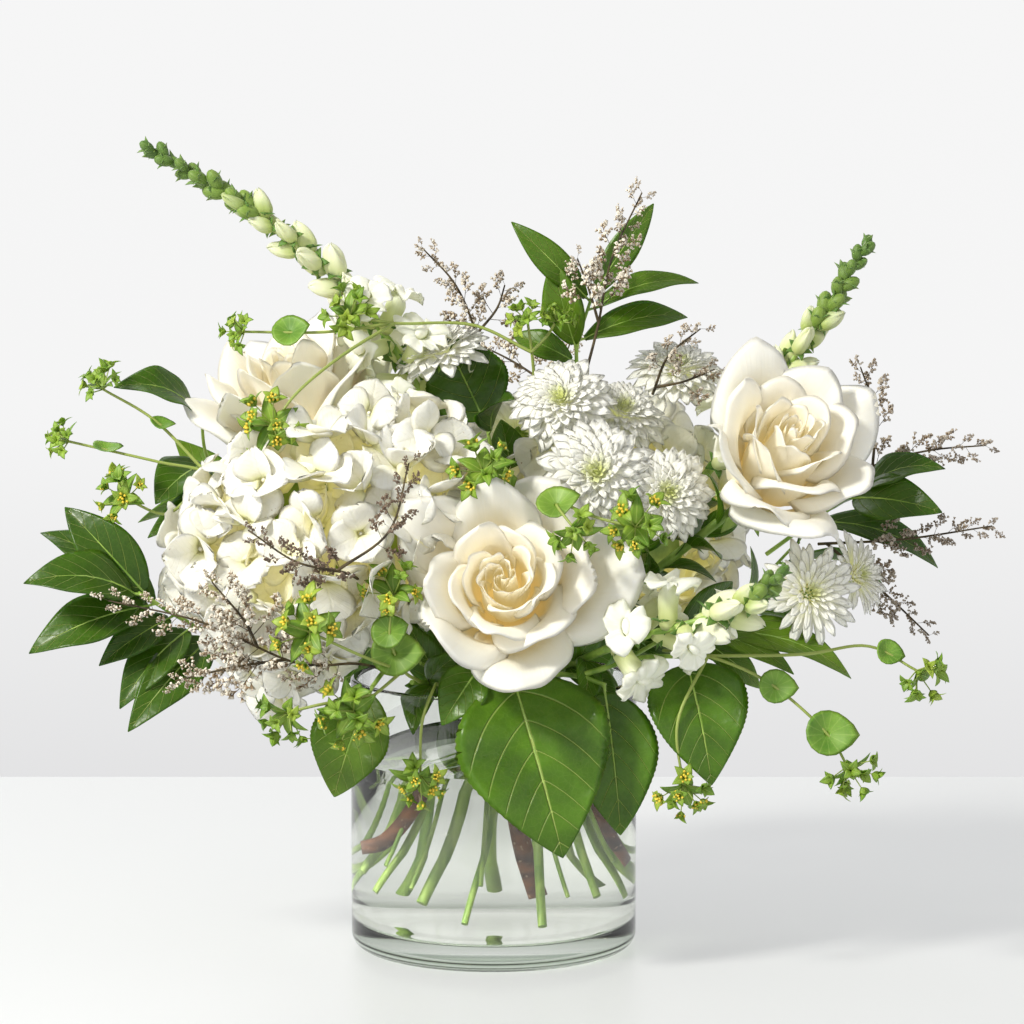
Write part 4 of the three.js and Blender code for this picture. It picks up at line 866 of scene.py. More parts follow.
# %% The items that a tree picks from
def kept(name, meshes):
    """A collection of throwaway objects that a tree picks its items from."""
    group = bpy.data.collections.new(name)
    bpy.context.scene.collection.children.link(group)
    for k, mesh in enumerate(meshes):
        group.objects.link(bpy.data.objects.new(f"{name}_{k}", mesh))
    return group


def let_go(group):
    for made in list(group.objects):
        bpy.data.objects.remove(made)
    bpy.data.collections.remove(group)

# %% [markdown]
# A rose is some thirty petals set by the golden angle round a heart. Each petal's middle line
# starts outward, turns up into a cup and rolls over at its lip. Young petals stand upright and
# wrap far round the heart; old ones open wide, and their lips roll back at both sides, which
# draws the pointed corners that a garden rose has.

# %% Rose petals
def rose_petal_grid(random, age, size, place, columns=27, rows=19):
    """Points of one petal. age runs from 0 in the heart to 1 in the outermost petal."""
    s = np.linspace(-1, 1, columns)[None, :]
    v = np.linspace(0, 1, rows)[:, None]

    def by_age(*values):
        return np.interp(age, [0, 0.25, 0.5, 0.75, 1], values)

    start = math.radians(by_age(76, 62, 46, 34, 20) + random.uniform(-3, 3))
    cup = math.radians(by_age(95, 93, 90, 83, 65) + random.uniform(-3, 3))
    roll = math.radians(by_age(6, 16, 40, 78, 92) * random.uniform(0.85, 1.15))
    lip_start = by_age(0.80, 0.74, 0.64, 0.56, 0.50)
    length = size * by_age(0.86, 0.98, 1.04, 1.10, 1.14) * random.uniform(0.97, 1.03)
    wrap = by_age(1.6, 1.4, 1.25, 1.08, 0.92) * random.uniform(0.94, 1.06)
    tuck = size * by_age(0.035, 0.05, 0.06, 0.06, 0.04)
    point = by_age(0, 0.03, 0.08, 0.17, 0.24) * random.uniform(0.5, 1.4)
    lopsided = random.uniform(-0.30, 0.30) * by_age(0, 0.4, 1, 1, 1)
    skewed = s + lopsided * (1 - s ** 2) * 0.5
    reach = length * (1 - 0.30 * np.abs(skewed) ** 2.8 + point * (1 - np.abs(skewed)) ** 1.5)
    side_roll = 0.50 + 0.75 * np.abs(skewed) ** 1.4
    ripple = waves(random, math.pi * s, (1, 2))
    lean = start + (cup - start) * ease(v / 0.45)
    lean = lean - roll * side_roll * ease((v - lip_start) / (1.08 - lip_start))
    lean = lean - by_age(0.02, 0.04, 0.06, 0.09, 0.12) * ripple * ease((v - 0.4) / 0.6)
    ruffle = np.sin(2.5 * math.pi * s + 7 * place) + 0.4 * np.sin(4 * math.pi * s + 4 * place)
    lean = lean - by_age(0.0, 0.04, 0.09, 0.14, 0.17) * ruffle * (1 - 0.7 * s ** 2) * ease((v - 0.68) / 0.32)
    step = reach / (rows - 1)
    out = np.cumsum(step * np.cos(lean), axis=0) - step * np.cos(lean)
    rise = np.cumsum(step * np.sin(lean), axis=0) - step * np.sin(lean)
    radius = size * by_age(0.012, 0.03, 0.06, 0.09, 0.10) + out + tuck * s * ease(v / 0.6)
    breadth = np.sin(math.pi * np.minimum(0.5, 0.13 + v * 0.55)) * (1 - 0.22 * v ** 4)
    angle = place + s * wrap * breadth
    rise = rise - size * 0.04 * np.abs(s) ** 2 * v + size * by_age(0.14, 0.10, 0.05, 0.0, -0.04)
    return np.stack([radius * np.cos(angle), radius * np.sin(angle), rise + 0 * angle], axis=-1)

# %% Plain blades, and the roses of this bouquet
def blade_grid(length, width, columns=5, rows=9, arch=0.1, fold=0.2, belly=0.85):
    """A plain blade along +X, its face up: used for sepals, bracts and calyx tips."""
    s = np.linspace(-1, 1, columns)[None, :]
    v = np.linspace(0, 1, rows)[:, None]
    half = 0.02 * width + width / 2 * np.abs(np.sin(math.pi * v ** belly)) ** 0.9
    lift = length * arch * 4 * v * (1 - v) + fold * np.abs(s) * half
    return np.stack([length * v + 0 * s, s * half, lift], axis=-1)


def turned_grid(grid, matrix):
    """A grid in millimetres, moved by a matrix in metres."""
    turn = np.array(matrix.to_3x3())
    shift = np.array(matrix.translation) / MM
    return grid @ turn.T + shift


# Name, heart, facing, petal length, twist, seed, petals, and the side where one petal hangs.
ROSES = [
    ("rose_front", (6, -56, 192), (-0.03, -0.93, 0.36), 61, 0.5, 3, 30, (1, -0.2, 0.1)),
    ("rose_right", (140, -26, 250), (0.26, -0.74, 0.6), 57, 0.1, 7, 30, (-0.2, 0.3, -1)),
    ("rose_left", (-97, 20, 262), (-0.25, -0.25, 0.93), 57, 0.9, 12, 27, (-1, -0.1, 0)),
    ("rose_back", (-46, 72, 224), (-0.3, 0.82, 0.5), 53, 0.3, 21, 27, (-1, 0, 0)),
]

# %% Building each rose
def rose_mesh(name, size, seed, petals, wide):
    """A bloom, with one petal more that hangs loose at the angle wide, its sepals and its hip."""
    random = np.random.default_rng(seed)
    bloom = Sheets()
    loose = rose_petal_grid(random, 1, size * 1.10, wide)
    bloom.sheet(loose - np.array([0, 0, 0.07 * size]), 0.55, draw=0.2)
    for k in range(petals):
        age = k / (petals - 1)
        grid = rose_petal_grid(random, age, size, k * GOLDEN_ANGLE + random.uniform(-0.15, 0.15))
        bloom.sheet(grid, 0.28 + 0.14 * age, draw=random.uniform(), part=1 - age)
    low = Matrix.Translation((0, 0, -0.04 * size * MM))
    for k in range(5):
        turn = Matrix.Rotation(k * FIFTH_TURN + 0.3, 4, "Z")
        droop = Matrix.Rotation(0.5 + random.uniform(0, 0.6), 4, "Y")
        sepal = blade_grid(size * 0.55, size * 0.16, arch=-0.12)
        bloom.sheet(turned_grid(sepal, low @ (turn @ droop)), 1.0, material=1)
    up = np.linspace(0, math.pi, 9)
    around = np.linspace(0, 2 * math.pi, 16, endpoint=False)
    radius = (0.17 * size * np.sin(up) + 0.3)[:, None]
    hip = np.stack([radius * np.cos(around), radius * np.sin(around),
                    (-0.14 * size * np.cos(up) - 0.04 * size)[:, None] + 0 * around], axis=-1)
    bloom.shell(hip, material=1)
    return bloom.mesh(name, [MATERIALS["rose"], MATERIALS["stem"]])


for name, heart, facing, size, twist, seed, petals, hanging in ROSES:
    frame_here = frame_at(heart, facing, twist)
    out = frame_here.to_3x3().inverted() @ Vector(hanging)
    mesh = rose_mesh(name, size, seed, petals, math.atan2(out.y, out.x))
    mesh.transform(frame_here)
    piece(f"{name}_petals", [mesh], "rose_petal", name)

# %% [markdown]
# A hydrangea head is a dome of florets, four broad sepals each, round a tiny bud. A few florets
# are made one by one and the dome tree sets them by the golden angle, loosely turned, and leaves
# out those that would stand inside a neighbouring bloom.

# %% Hydrangea florets
def sepal_grid(random, length, width, columns=9, rows=9):
    """One broad sepal along +X, cupped and crinkled by chance."""
    s = np.linspace(-1, 1, columns)[None, :]
    v = np.linspace(0, 1, rows)[:, None]
    half = width / 2 * np.sin(math.pi * np.clip(0.06 + 0.74 * v, 0, 1)) ** 0.62 * (1 - 0.40 * v ** 8)
    sag = random.uniform(-0.35, 0.30)
    cupped = random.uniform(-0.35, 0.55)
    lift = length * (0.12 * np.sin(math.pi * v) + sag * v ** 2) + cupped * half * s ** 2
    ripple = waves(random, 1.6 * s, (1, 2, 4))
    crinkle = random.uniform(-1, 1) * np.sin(7 * s + 5 * v) + random.uniform(-1, 1) * np.sin(9 * v - 4 * s)
    lift = lift + 0.058 * length * ripple * v ** 1.5 + 0.020 * length * crinkle * v
    reach = length * (0.06 + 0.94 * v) * (1 - 0.07 * np.abs(s) ** 2 + 0.04 * (1 - np.abs(s)) ** 2)
    return np.stack([reach + 0 * s, half * s, lift + 0 * s], axis=-1)


def bead(radius, height, around=6, up=4):
    """Rings of a small egg round +Z: a bud, a cup or the dark heart of a head."""
    turn = np.linspace(0, 2 * math.pi, around, endpoint=False)
    climb = np.linspace(0.06, math.pi - 0.06, up)
    out = radius * np.sin(climb)[:, None]
    return np.stack([out * np.cos(turn), out * np.sin(turn),
                     (-height * np.cos(climb))[:, None] + 0 * turn], axis=-1)


def hydrangea_floret(random):
    """Four sepals, two of them over the other two. It is 1 unit from its bud to a tip."""
    floret = Sheets()
    for lobe in range(4):
        grid = sepal_grid(random, random.uniform(0.90, 1.10), random.uniform(1.10, 1.32))
        turn = Matrix.Rotation(lobe * math.pi / 2 + random.uniform(-0.12, 0.12), 4, "Z")
        tip_up = Matrix.Rotation(-random.uniform(-0.15, 0.85), 4, "Y")
        raised = Matrix.Translation((0, 0, (0.02 + 0.035 * (lobe % 2)) * MM))
        floret.sheet(turned_grid(grid, raised @ turn @ tip_up), 0.016)
    floret.shell(bead(0.065, 0.06) + np.array([0, 0, 0.08]))
    return floret.mesh("floret", [MATERIALS["hydrangea"]])


def kinds(name, count, seed, make):
    """Some shapes of one kind of item, each from a seed of its own."""
    return kept(name, [make(np.random.default_rng(seed + k)) for k in range(count)])


florets = kinds("hydrangea_floret", 8, 40, hydrangea_floret)

# %% Hydrangea heads: an outer layer of open florets over a smaller, deeper one
# Name, centre, facing, half sizes, floret, count, cover of the dome, seed, and places to leave clear:
# the neighbouring blooms as spheres of (x, y, z, radius).
HYDRANGEAS = [
    ("hydrangea_left", (-87, -46, 232), (-0.25, -0.8, 0.5), (80, 66, 53), 20.5, 66, 1.5, 5,
     ((6, -80, 202, 46), (-106, -4, 291, 58), (-30, -30, 250, 12))),
    ("hydrangea_back", (72, 66, 226), (0.45, 0.75, 0.5), (67, 63, 48), 20.5, 48, 1.45, 9,
     ((-46, 95, 238, 42), (12, 92, 266, 18), (0, 0, 0, 1))),
]
LOW_FLORETS_SIZE = 19
# Place and facing of the few florets that hang out below the left head.
LOW_FLORETS = [((-122, -54, 156), (-0.5, -0.7, -0.5)), ((-104, -66, 160), (0.1, -0.9, -0.4)),
               ((-84, -66, 165), (0.3, -0.9, -0.3)), ((-112, -52, 146), (-0.2, -0.8, -0.6)),
               ((-134, -48, 168), (-0.6, -0.7, -0.4))]


def hydrangea_layer(name, matrix, half, size, count, cover, seed, beside, sunk):
    """Florets over a dome that lies some millimetres inside the head's own half sizes."""
    back = matrix.inverted()
    near = {}
    for k, (x, y, z, reach) in enumerate(beside):
        near[f"beside_{k}"] = back @ (Vector((x, y, z)) * MM)
        near[f"clear_{k}"] = float(reach * MM)
    mesh = dome_tree.grow(name, items=florets, count=count, half_size=[(h - sunk) * MM for h in half],
                          cover=cover, size_top=float(size), size_edge=float(size),
                          size_jitter=0.14, depth_jitter=0.085, tilt_jitter=0.62, seed=seed,
                          material=MATERIALS["hydrangea"], **near)
    mesh.transform(matrix)
    return mesh


TOP_LAYER_SUNK, DEEP_LAYER_SUNK, HEART_SUNK = 8.0, 21.0, 27
for name, centre, facing, half, size, count, cover, seed, beside in HYDRANGEAS:
    matrix = frame_at(centre, facing, 0.22)
    top = hydrangea_layer(name, matrix, half, size, count, cover, seed, beside, TOP_LAYER_SUNK)
    deep = hydrangea_layer(name, matrix, half, size * 0.95, int(count * 0.7), cover, seed + 50,
                           beside, DEEP_LAYER_SUNK)
    # The deeper layer is marked, for its painted shade and its stronger painted glow.
    deep.attributes["part"].data.foreach_set("value", np.ones(len(deep.vertices), np.float32))
    core = Sheets()
    core.shell(bead(1, 1, 24, 12) * np.array([h - HEART_SUNK for h in half]), draw=1.0)
    heart = core.mesh(name, [MATERIALS["stem"]])
    heart.transform(matrix)
    meshes = [top, deep, heart]
    for k, (place, turned_to) in enumerate(LOW_FLORETS if name == "hydrangea_left" else []):
        low = hydrangea_floret(np.random.default_rng(200 + k))
        low.transform(frame_at(place, turned_to, 0.7 * k) @ Matrix.Scale(LOW_FLORETS_SIZE, 4))
        meshes.append(low)
    piece(f"{name}_florets", meshes, "hydrangea_petal", name)
let_go(florets)

# %% [markdown]
# A cushion mum is a head of narrow rays. They stand up short and green in the young middle and
# lie down long and white at the edge. One tree sets every ray from a handful of shapes.

# %% Mum rays and discs
def ray_mesh(random, width, curl, columns=4, rows=7):
    """One ray, a narrow spoon 1 unit long, that curls up or down towards its tip."""
    s = np.linspace(-1, 1, columns)[None, :]
    v = np.linspace(0, 1, rows)[:, None]
    round_tip = np.sqrt(np.maximum(1 - np.maximum(v - 0.72, 0) ** 2 / 0.085, 0.05))
    half = width / 2 * (0.35 + 0.65 * ease(v / 0.65)) * round_tip
    reach = v * (1 - 0.04 * np.abs(np.abs(s) - 0.33))
    lift = 0.10 * np.sin(math.pi * v) + curl * v ** 2.4 + 0.30 * half * s ** 2
    lift = lift + random.uniform(-0.03, 0.03) * v
    sway = random.uniform(-0.05, 0.05) * v ** 2
    ray = Sheets()
    ray.sheet(np.stack([reach + 0 * s, half * s + sway, lift], axis=-1), 0.012)
    return ray.mesh("ray", [MATERIALS["mum"]])


def dot_mesh(part):
    """One dot of a disc. The higher its part, the more golden its colour."""
    dot = Sheets()
    dot.shell(bead(1, 1.2, 5, 4), part=part)
    return dot.mesh("dot", [MATERIALS["mum"]])


def ray_kinds(name, seed, width, curls):
    """Rays of one width, one for each curl."""
    return kept(name, [ray_mesh(np.random.default_rng(seed + k), width, c) for k, c in enumerate(curls)])


wide_rays = ray_kinds("wide_ray", 60, 0.34, [-0.16 + 0.06 * k for k in range(4)])
thin_rays = ray_kinds("thin_ray", 70, 0.25, [-0.04 + 0.05 * k for k in range(4)])
dots = kept("disc_dot", [dot_mesh(0.5), dot_mesh(0.8)])

# %% Mum heads: name, heart, facing, length of a ray, twist
MUMS = [
    ("mum_01", (36, -34, 292), (-0.1, -0.8, 0.6), 25, 0.7),
    ("mum_02", (66, -14, 284), (0.25, -0.6, 0.75), 23, 1.4),
    ("mum_03", (53, -62, 258), (0, -0.93, 0.36), 28, 2.1),
    ("mum_04", (88, -58, 248), (0.25, -0.9, 0.3), 24, 2.8),
    ("mum_05", (98, 28, 302), (0.1, -0.45, 0.9), 25, 0.5),
    ("mum_06", (-27, 10, 314), (-0.3, -0.35, 0.9), 25, 1.2),
    ("mum_07", (163, -54, 196), (0.3, -0.9, 0.3), 26, 2.6),
    ("mum_08", (188, -30, 202), (0.75, -0.55, 0.35), 22, 0.3),
    ("mum_09", (-24, -46, 242), (-0.2, -0.7, 0.68), 17, 1.0),
    ("mum_10", (12, 92, 266), (0.05, 0.7, 0.7), 26, 1.7),
    ("mum_11", (6, 112, 208), (0.1, 0.95, 0.2), 25, 2.4),
]
OPEN_MUMS = ("mum_07", "mum_08", "mum_09")


def mum_meshes(name, size, seed):
    """Rays, the dots of the disc, and a green cup below. An open mum has fewer, thinner rays."""
    spread = name in OPEN_MUMS
    core, count, young, old = (0.21, 84, 0.30, 0.92) if spread else (0.16, 140, 0.42, 0.98)
    heart = [core * size * MM, core * size * MM, 0.10 * size * MM]
    rays = ray_tree.grow(name, items=thin_rays if spread else wide_rays, count=count, cover=1.0,
                         half_size=heart, size_top=young * size, size_edge=old * size,
                         size_jitter=0.07, seed=seed, pitch_top=1.5, pitch_edge=0.02,
                         pitch_jitter=0.09, material=MATERIALS["mum"])
    disc = ray_tree.grow(name, items=dots, count=60, half_size=[h * 1.15 for h in heart], cover=0.85,
                         size_top=0.026 * size, size_edge=0.036 * size, size_jitter=0.1, seed=seed,
                         pitch_top=0.0, pitch_edge=0.0, pitch_jitter=0.1, material=MATERIALS["mum"])
    if spread:
        disc.transform(Matrix.Translation((0, 0, 0.08 * size * MM)))
    cup = Sheets()
    cup.shell(bead(0.2 * size, 0.13 * size, 16, 8) + np.array([0, 0, -0.08 * size]))
    low = Matrix.Translation((0, 0, -0.10 * size * MM))
    for k in range(12):
        turn = Matrix.Rotation(k * TWELFTH_TURN, 4, "Z") @ Matrix.Rotation(0.1, 4, "Y")
        cup.sheet(turned_grid(blade_grid(0.42 * size, 0.12 * size, 4, 6), low @ turn), 0.7)
    return [rays, disc, cup.mesh(name, [MATERIALS["stem"]])]


for k, (name, heart, facing, size, twist) in enumerate(MUMS):
    meshes = mum_meshes(name, size, 80 + k)
    for mesh in meshes:
        mesh.transform(frame_at(heart, facing, twist))
    piece(f"{name}_rays", meshes, "mum_petal", name)
for group in (wide_rays, thin_rays, dots):
    let_go(group)

# %% [markdown]
# Leaves are the same thin sheets: broad toothed ones over the rim, glossy oval ones in the
# branches, slim ones at the top. The blade follows the CAD's own outline, with a finer grid,
# a wavy edge, teeth where the real leaf has them, and a rib that stands out below.

# %% Leaf blades
BROAD_LEAF = 20


def leaf_grid(leaf, base, teeth, random):
    """A blade from its base to its tip, in millimetres."""
    tip, width, up = np.array(leaf["tip"], float), leaf["width"], np.array(leaf["up"], float)
    arch, fold, belly = leaf.get("arch", 0.1), leaf.get("fold", 0.25), leaf.get("belly", 0.85)
    along = tip - base
    length = np.linalg.norm(along)
    columns = 13 if width > BROAD_LEAF else 9
    rows = 2 * teeth + 1 if teeth else 21
    s = np.linspace(-1, 1, columns)[None, :]
    v = np.linspace(0, 1, rows)[:, None]
    swell = np.abs(np.sin(math.pi * v ** belly)) ** 0.9
    half = 1.4 * (1 - v) + 0.3 + (width / 2) * swell
    if teeth:
        saw = np.where(np.arange(rows) % 2 == 1, 1.0, 0.0)[:, None] * (np.abs(s) > 0.99)
        half = half * (1 - 0.022 * saw * swell)
    side = np.cross(along, up)
    side /= np.linalg.norm(side)
    face = np.cross(side, along)
    face /= np.linalg.norm(face)
    bend = arch * length * 4 * v * (1 - v)
    crease = fold * half * (np.sqrt(s ** 2 + 0.02) - 0.14)
    swing = np.sin(2 * math.pi * (2.1 * v + random.uniform(0, 1)) + np.sign(s))
    wave = 0.035 * width * np.abs(s) ** 1.5 * swing * swell
    pillows = np.abs(np.sin(math.pi * (v - 0.30 * np.abs(s) ** 1.4) * 8)) * (np.abs(s) < 0.95)
    quilt = -0.016 * width * pillows * swell
    hook = -0.05 * length * v ** 4
    lift = bend + crease + wave + quilt + hook
    droop = along[None, None] * v[..., None]
    return base + droop + side * (s * half)[..., None] + face * lift[..., None]

# %% Leafy stems: twigs, the stalk and rib of every leaf, and its blade
# How far a stem's leaves go towards their darkest green, where it isn't the usual share.
LEAF_DARKNESS = {"leafy_stem_front": 0.0, "leafy_stem_left": 1.0, "leafy_stem_top": 0.8,
                 "hydrangea_leaf": 0.8, "leafy_stem_right": 0.8, "leafy_stem_upper_left": 0.6,
                 "leafy_stem_centre": 0.6}
USUAL_DARKNESS = 0.4
TEETH = 26


def leafy_meshes(name, twigs, radius, leaves, material, seed, toothed):
    """Blades as sheets, and twigs, stalks and ribs as tubes."""
    random = np.random.default_rng(seed)
    routes = [smooth_route(twig) for twig in twigs]
    blades = Sheets()
    stalks, girths = list(routes), [(radius, radius * 0.7)] * len(routes)
    for leaf in leaves:
        root = spot(routes[leaf["on"][0]], leaf["on"][1])
        toward = unit(np.array(leaf["tip"], float) - root)
        base = root + toward * min(4.0, 0.12 * leaf["width"] + 1.5)
        stalks.append(np.array([root, (root + base) / 2, base + toward * 2.0]))
        girths.append((radius * 0.7, 0.6))
        broad = leaf["width"] > BROAD_LEAF
        darkness = 0.3 * random.uniform() + 0.7 * LEAF_DARKNESS.get(name, USUAL_DARKNESS)
        grid = leaf_grid(leaf, base, TEETH if toothed and broad else 0, random)
        blades.sheet(grid, 0.6, draw=float(darkness))
        even = leaf_grid(leaf, base, 0, np.random.default_rng(1))
        stalks.append(even[:-2, even.shape[1] // 2])
        girths.append((0.75 if broad else 0.55, 0.25))
    return [blades.mesh(name, [material]), tubes(name, stalks, girths, MATERIALS["stem"], 8)]


def L(on, tip, width, up, **more):
    """A leaf that grows on a twig (its number and a share of its length) and ends at a tip."""
    return {"on": on, "tip": tip, "width": width, "up": up, **more}


# Name, green, radius, toothed or not, twigs, and leaves.
LEAFY_STEMS = [
    ("leafy_stem_front", "leaf_dark", 1.6, True,
     [[(16, -48, 148), (12, -64, 157), (9, -76, 160)], [(12, -64, 157), (44, -72, 156), (58, -76, 152)],
      [(44, -72, 156), (76, -68, 165), (100, -76, 167)], [(12, -64, 157), (2, -70, 162), (-6, -74, 163)]],
     [L((0, 0.98), (36, -104, 68), 78, (0.1, -1, 0.1), belly=0.7, arch=0.08),
      L((1, 0.98), (66, -88, 76), 44, (0.15, -1, 0), belly=0.75, arch=0.05),
      L((2, 0.98), (112, -96, 104), 50, (0.1, -1, 0.2), belly=0.65, arch=0.1),
      L((3, 0.98), (-26, -90, 134), 24, (-0.2, -1, 0.1), belly=0.75, arch=0.08)]),
    ("hydrangea_leaf", "leaf", 1.6, True, [[(-44, -50, 158), (-54, -68, 160), (-62, -82, 152)]],
     [L((0, 0.98), (-82, -88, 96), 40, (-0.3, -1, 0), belly=0.8, arch=0.08)]),
    ("leafy_stem_centre", "leaf_dark", 1.2, True, [[(0, 14, 258), (-4, 8, 280)]],
     [L((0, 0.9), (-26, 2, 326), 44, (-0.1, -0.9, 0.3), belly=0.8, arch=-0.1),
      L((0, 0.7), (10, -22, 296), 20, (0, -0.6, 0.8), arch=0.15)]),
    ("leafy_stem_top", "leaf", 1.2, False, [[(50, 14, 288), (44, 14, 316), (52, 16, 346)]],
     [L((0, 0.96), (10, 6, 386), 15, (-0.4, -0.7, 0.5), belly=1, arch=0.12),
      L((0, 0.5), (31, 6, 366), 20, (-0.2, -0.9, 0.2), belly=0.9, arch=0.08),
      L((0, 0.98), (86, 24, 395), 15, (0.4, -0.8, 0.2), belly=1, arch=-0.06),
      L((0, 0.88), (109, 24, 355), 15, (0, -0.6, 0.8), belly=1, arch=0.12),
      L((0, 0.6), (104, 30, 336), 18, (0, -0.7, 0.6), belly=1, arch=0.12),
      L((0, 0.4), (10, 22, 326), 14, (-0.2, -0.8, 0.5), belly=1, arch=0.1)]),
    ("leafy_stem_upper_left", "leaf_dark", 1.2, False, [[(-122, 34, 226), (-152, 24, 256), (-156, 14, 286)]],
     [L((0, 0.97), (-198, -14, 302), 26, (0.1, -0.6, 0.8), arch=0.16),
      L((0, 0.6), (-178, -12, 240), 27, (-0.3, -0.9, 0.3), arch=0.1),
      L((0, 0.3), (-182, -10, 222), 18, (-0.3, -0.9, 0.3), arch=0.1)]),
    ("leafy_stem_left", "leaf_dark", 1.5, False, [[(-116, 2, 156), (-150, -14, 170), (-184, -48, 196)]],
     [L((0, 0.9), (-223, -38, 240), 27, (-0.2, -0.8, 0.5), arch=0.1),
      L((0, 0.98), (-240, -72, 206), 29, (0.1, -0.7, 0.7), arch=0.16),
      L((0, 0.82), (-238, -18, 226), 23, (-0.1, -0.6, 0.8), arch=0.1),
      L((0, 0.86), (-240, -62, 168), 27, (0, -0.8, 0.6), arch=0.1),
      L((0, 0.7), (-204, -56, 160), 18, (-0.2, -0.9, 0.2), arch=0.1),
      L((0, 0.55), (-194, -56, 138), 24, (-0.3, -0.9, 0.2), arch=0.12),
      L((0, 0.4), (-188, -66, 128), 26, (-0.1, -1, 0.2), arch=0.1)]),
    ("leafy_stem_right", "leaf_dark", 1.2, False, [[(146, 18, 208), (176, 6, 232), (194, -6, 246)]],
     [L((0, 0.97), (237, -16, 259), 20, (0, -0.6, 0.8), arch=0.16),
      L((0, 0.85), (233, -36, 238), 25, (0.1, -0.9, 0.4), arch=0.1),
      L((0, 0.5), (238, 8, 204), 20, (0.1, -0.6, 0.7), arch=0.14)]),
    ("leafy_stem_low_right", "leaf", 1.2, False, [[(72, -44, 162), (92, -54, 174), (112, -60, 178)]],
     [L((0, 0.95), (154, -82, 160), 12, (0.1, -0.8, 0.6), belly=1, arch=0.12),
      L((0, 0.8), (140, -48, 146), 13, (0.2, -0.9, 0.3), belly=1, arch=0.1),
      L((0, 0.97), (186, -64, 156), 22, (0.1, -0.6, 0.8), arch=0.14),
      L((0, 0.6), (128, -20, 148), 16, (0.3, -0.6, 0.6), arch=0.1)]),
    ("leafy_stem_back", "leaf_dark", 1.6, True,
     [[(0, 56, 156), (-2, 74, 162), (-2, 86, 164)], [(-2, 74, 162), (34, 82, 166)],
      [(-2, 74, 162), (-46, 84, 167)]],
     [L((0, 0.98), (-10, 108, 88), 60, (0, 1, 0.2), belly=0.7, arch=0.08),
      L((1, 0.98), (66, 114, 108), 48, (0.3, 1, 0.2), belly=0.7, arch=0.1),
      L((2, 0.98), (-84, 116, 124), 44, (-0.3, 1, 0.4), belly=0.7, arch=0.1)]),
    ("leafy_stem_back_left", "leaf", 1.2, False, [[(-90, 36, 180), (-122, 60, 202), (-140, 74, 226)]],
     [L((0, 0.97), (-176, 96, 262), 22, (-0.4, 0.8, 0.4), arch=0.1),
      L((0, 0.85), (-196, 84, 220), 24, (-0.1, 0.5, 0.8), arch=0.14),
      L((0, 0.65), (-140, 120, 190), 24, (-0.2, 0.5, 0.8), arch=0.12),
      L((0, 0.35), (-116, 104, 150), 25, (-0.2, 0.8, 0.5), arch=0.12)]),
    ("leafy_stem_back_right", "leaf_dark", 1.2, False, [[(92, 22, 168), (130, 40, 178), (164, 58, 208)]],
     [L((0, 0.97), (206, 76, 236), 22, (0.2, 0.5, 0.8), arch=0.12),
      L((0, 0.85), (212, 50, 190), 24, (0.1, 0.3, 0.9), arch=0.14),
      L((0, 0.65), (166, 98, 156), 26, (0.2, 0.7, 0.6), arch=0.12),
      L((0, 0.35), (112, 96, 136), 28, (0.1, 0.8, 0.5), arch=0.12)]),
]
SLOTS = {"leaf": "leaf_green", "leaf_dark": "leaf_dark"}
for k, (name, colour, radius, toothed, twigs, leaves) in enumerate(LEAFY_STEMS):
    meshes = leafy_meshes(name, twigs, radius, leaves, MATERIALS[colour], 90 + k, toothed)
    piece(f"{name}_blades", meshes, SLOTS[colour], name)

# %% [markdown]
# Thirteen green stems lean together where they pass the mouth of the vase and fan out in the
# water below. Eight thinner ones between them fork and carry small leaves, and the thick ones
# are leafy above the rim, which closes the gaps between the blooms. Three woody stems stand
# among them. A tube along a smooth route is all that each of them needs.

# %% Green stems: foot, bend, neck and radius
CROSSING = (2, -4, 120)
CROSSING_RING = 9.5
GREEN_STEMS = [
    ((-60, -10, 42), (40, 0, 162), (138, -20, 246), 2.8),
    ((-56, -24, 34), (32, 6, 160), (112, 14, 250), 2.2),
    ((-34, -42, 32), (22, 18, 158), (60, 56, 214), 3.2),
    ((-14, -58, 24), (6, 24, 166), (12, 88, 262), 1.9),
    ((24, -54, 22), (-12, 20, 158), (-44, 66, 220), 2.6),
    ((50, -36, 34), (-24, 12, 160), (-95, 22, 256), 2.6),
    ((60, -8, 28), (-12, 4, 172), (-30, 8, 275), 2.2),
    ((52, 26, 30), (-26, -8, 152), (-80, -34, 206), 3.4),
    ((32, 50, 26), (-24, -28, 144), (-42, -66, 152), 1.5),
    ((0, 60, 24), (4, -18, 148), (8, -50, 188), 2.8),
    ((-28, 52, 22), (26, -28, 148), (58, -76, 171), 2.2),
    ((-46, 38, 30), (24, -14, 162), (52, -54, 254), 1.9),
    ((-60, 14, 26), (44, -14, 154), (160, -50, 194), 1.9),
]
routes, girths = [], []
for k, (foot, bend, neck, radius) in enumerate(GREEN_STEMS):
    a = k / len(GREEN_STEMS) * 2 * math.pi - math.pi / 2
    ring_x, ring_y = CROSSING_RING * math.cos(a), CROSSING_RING * math.sin(a)
    passing = (CROSSING[0] + ring_x, CROSSING[1] + ring_y, CROSSING[2])
    routes.append(smooth_route([foot, passing, bend, neck], 14))
    girths.append((radius * 0.88, radius * 0.85))
leafed = list(routes)

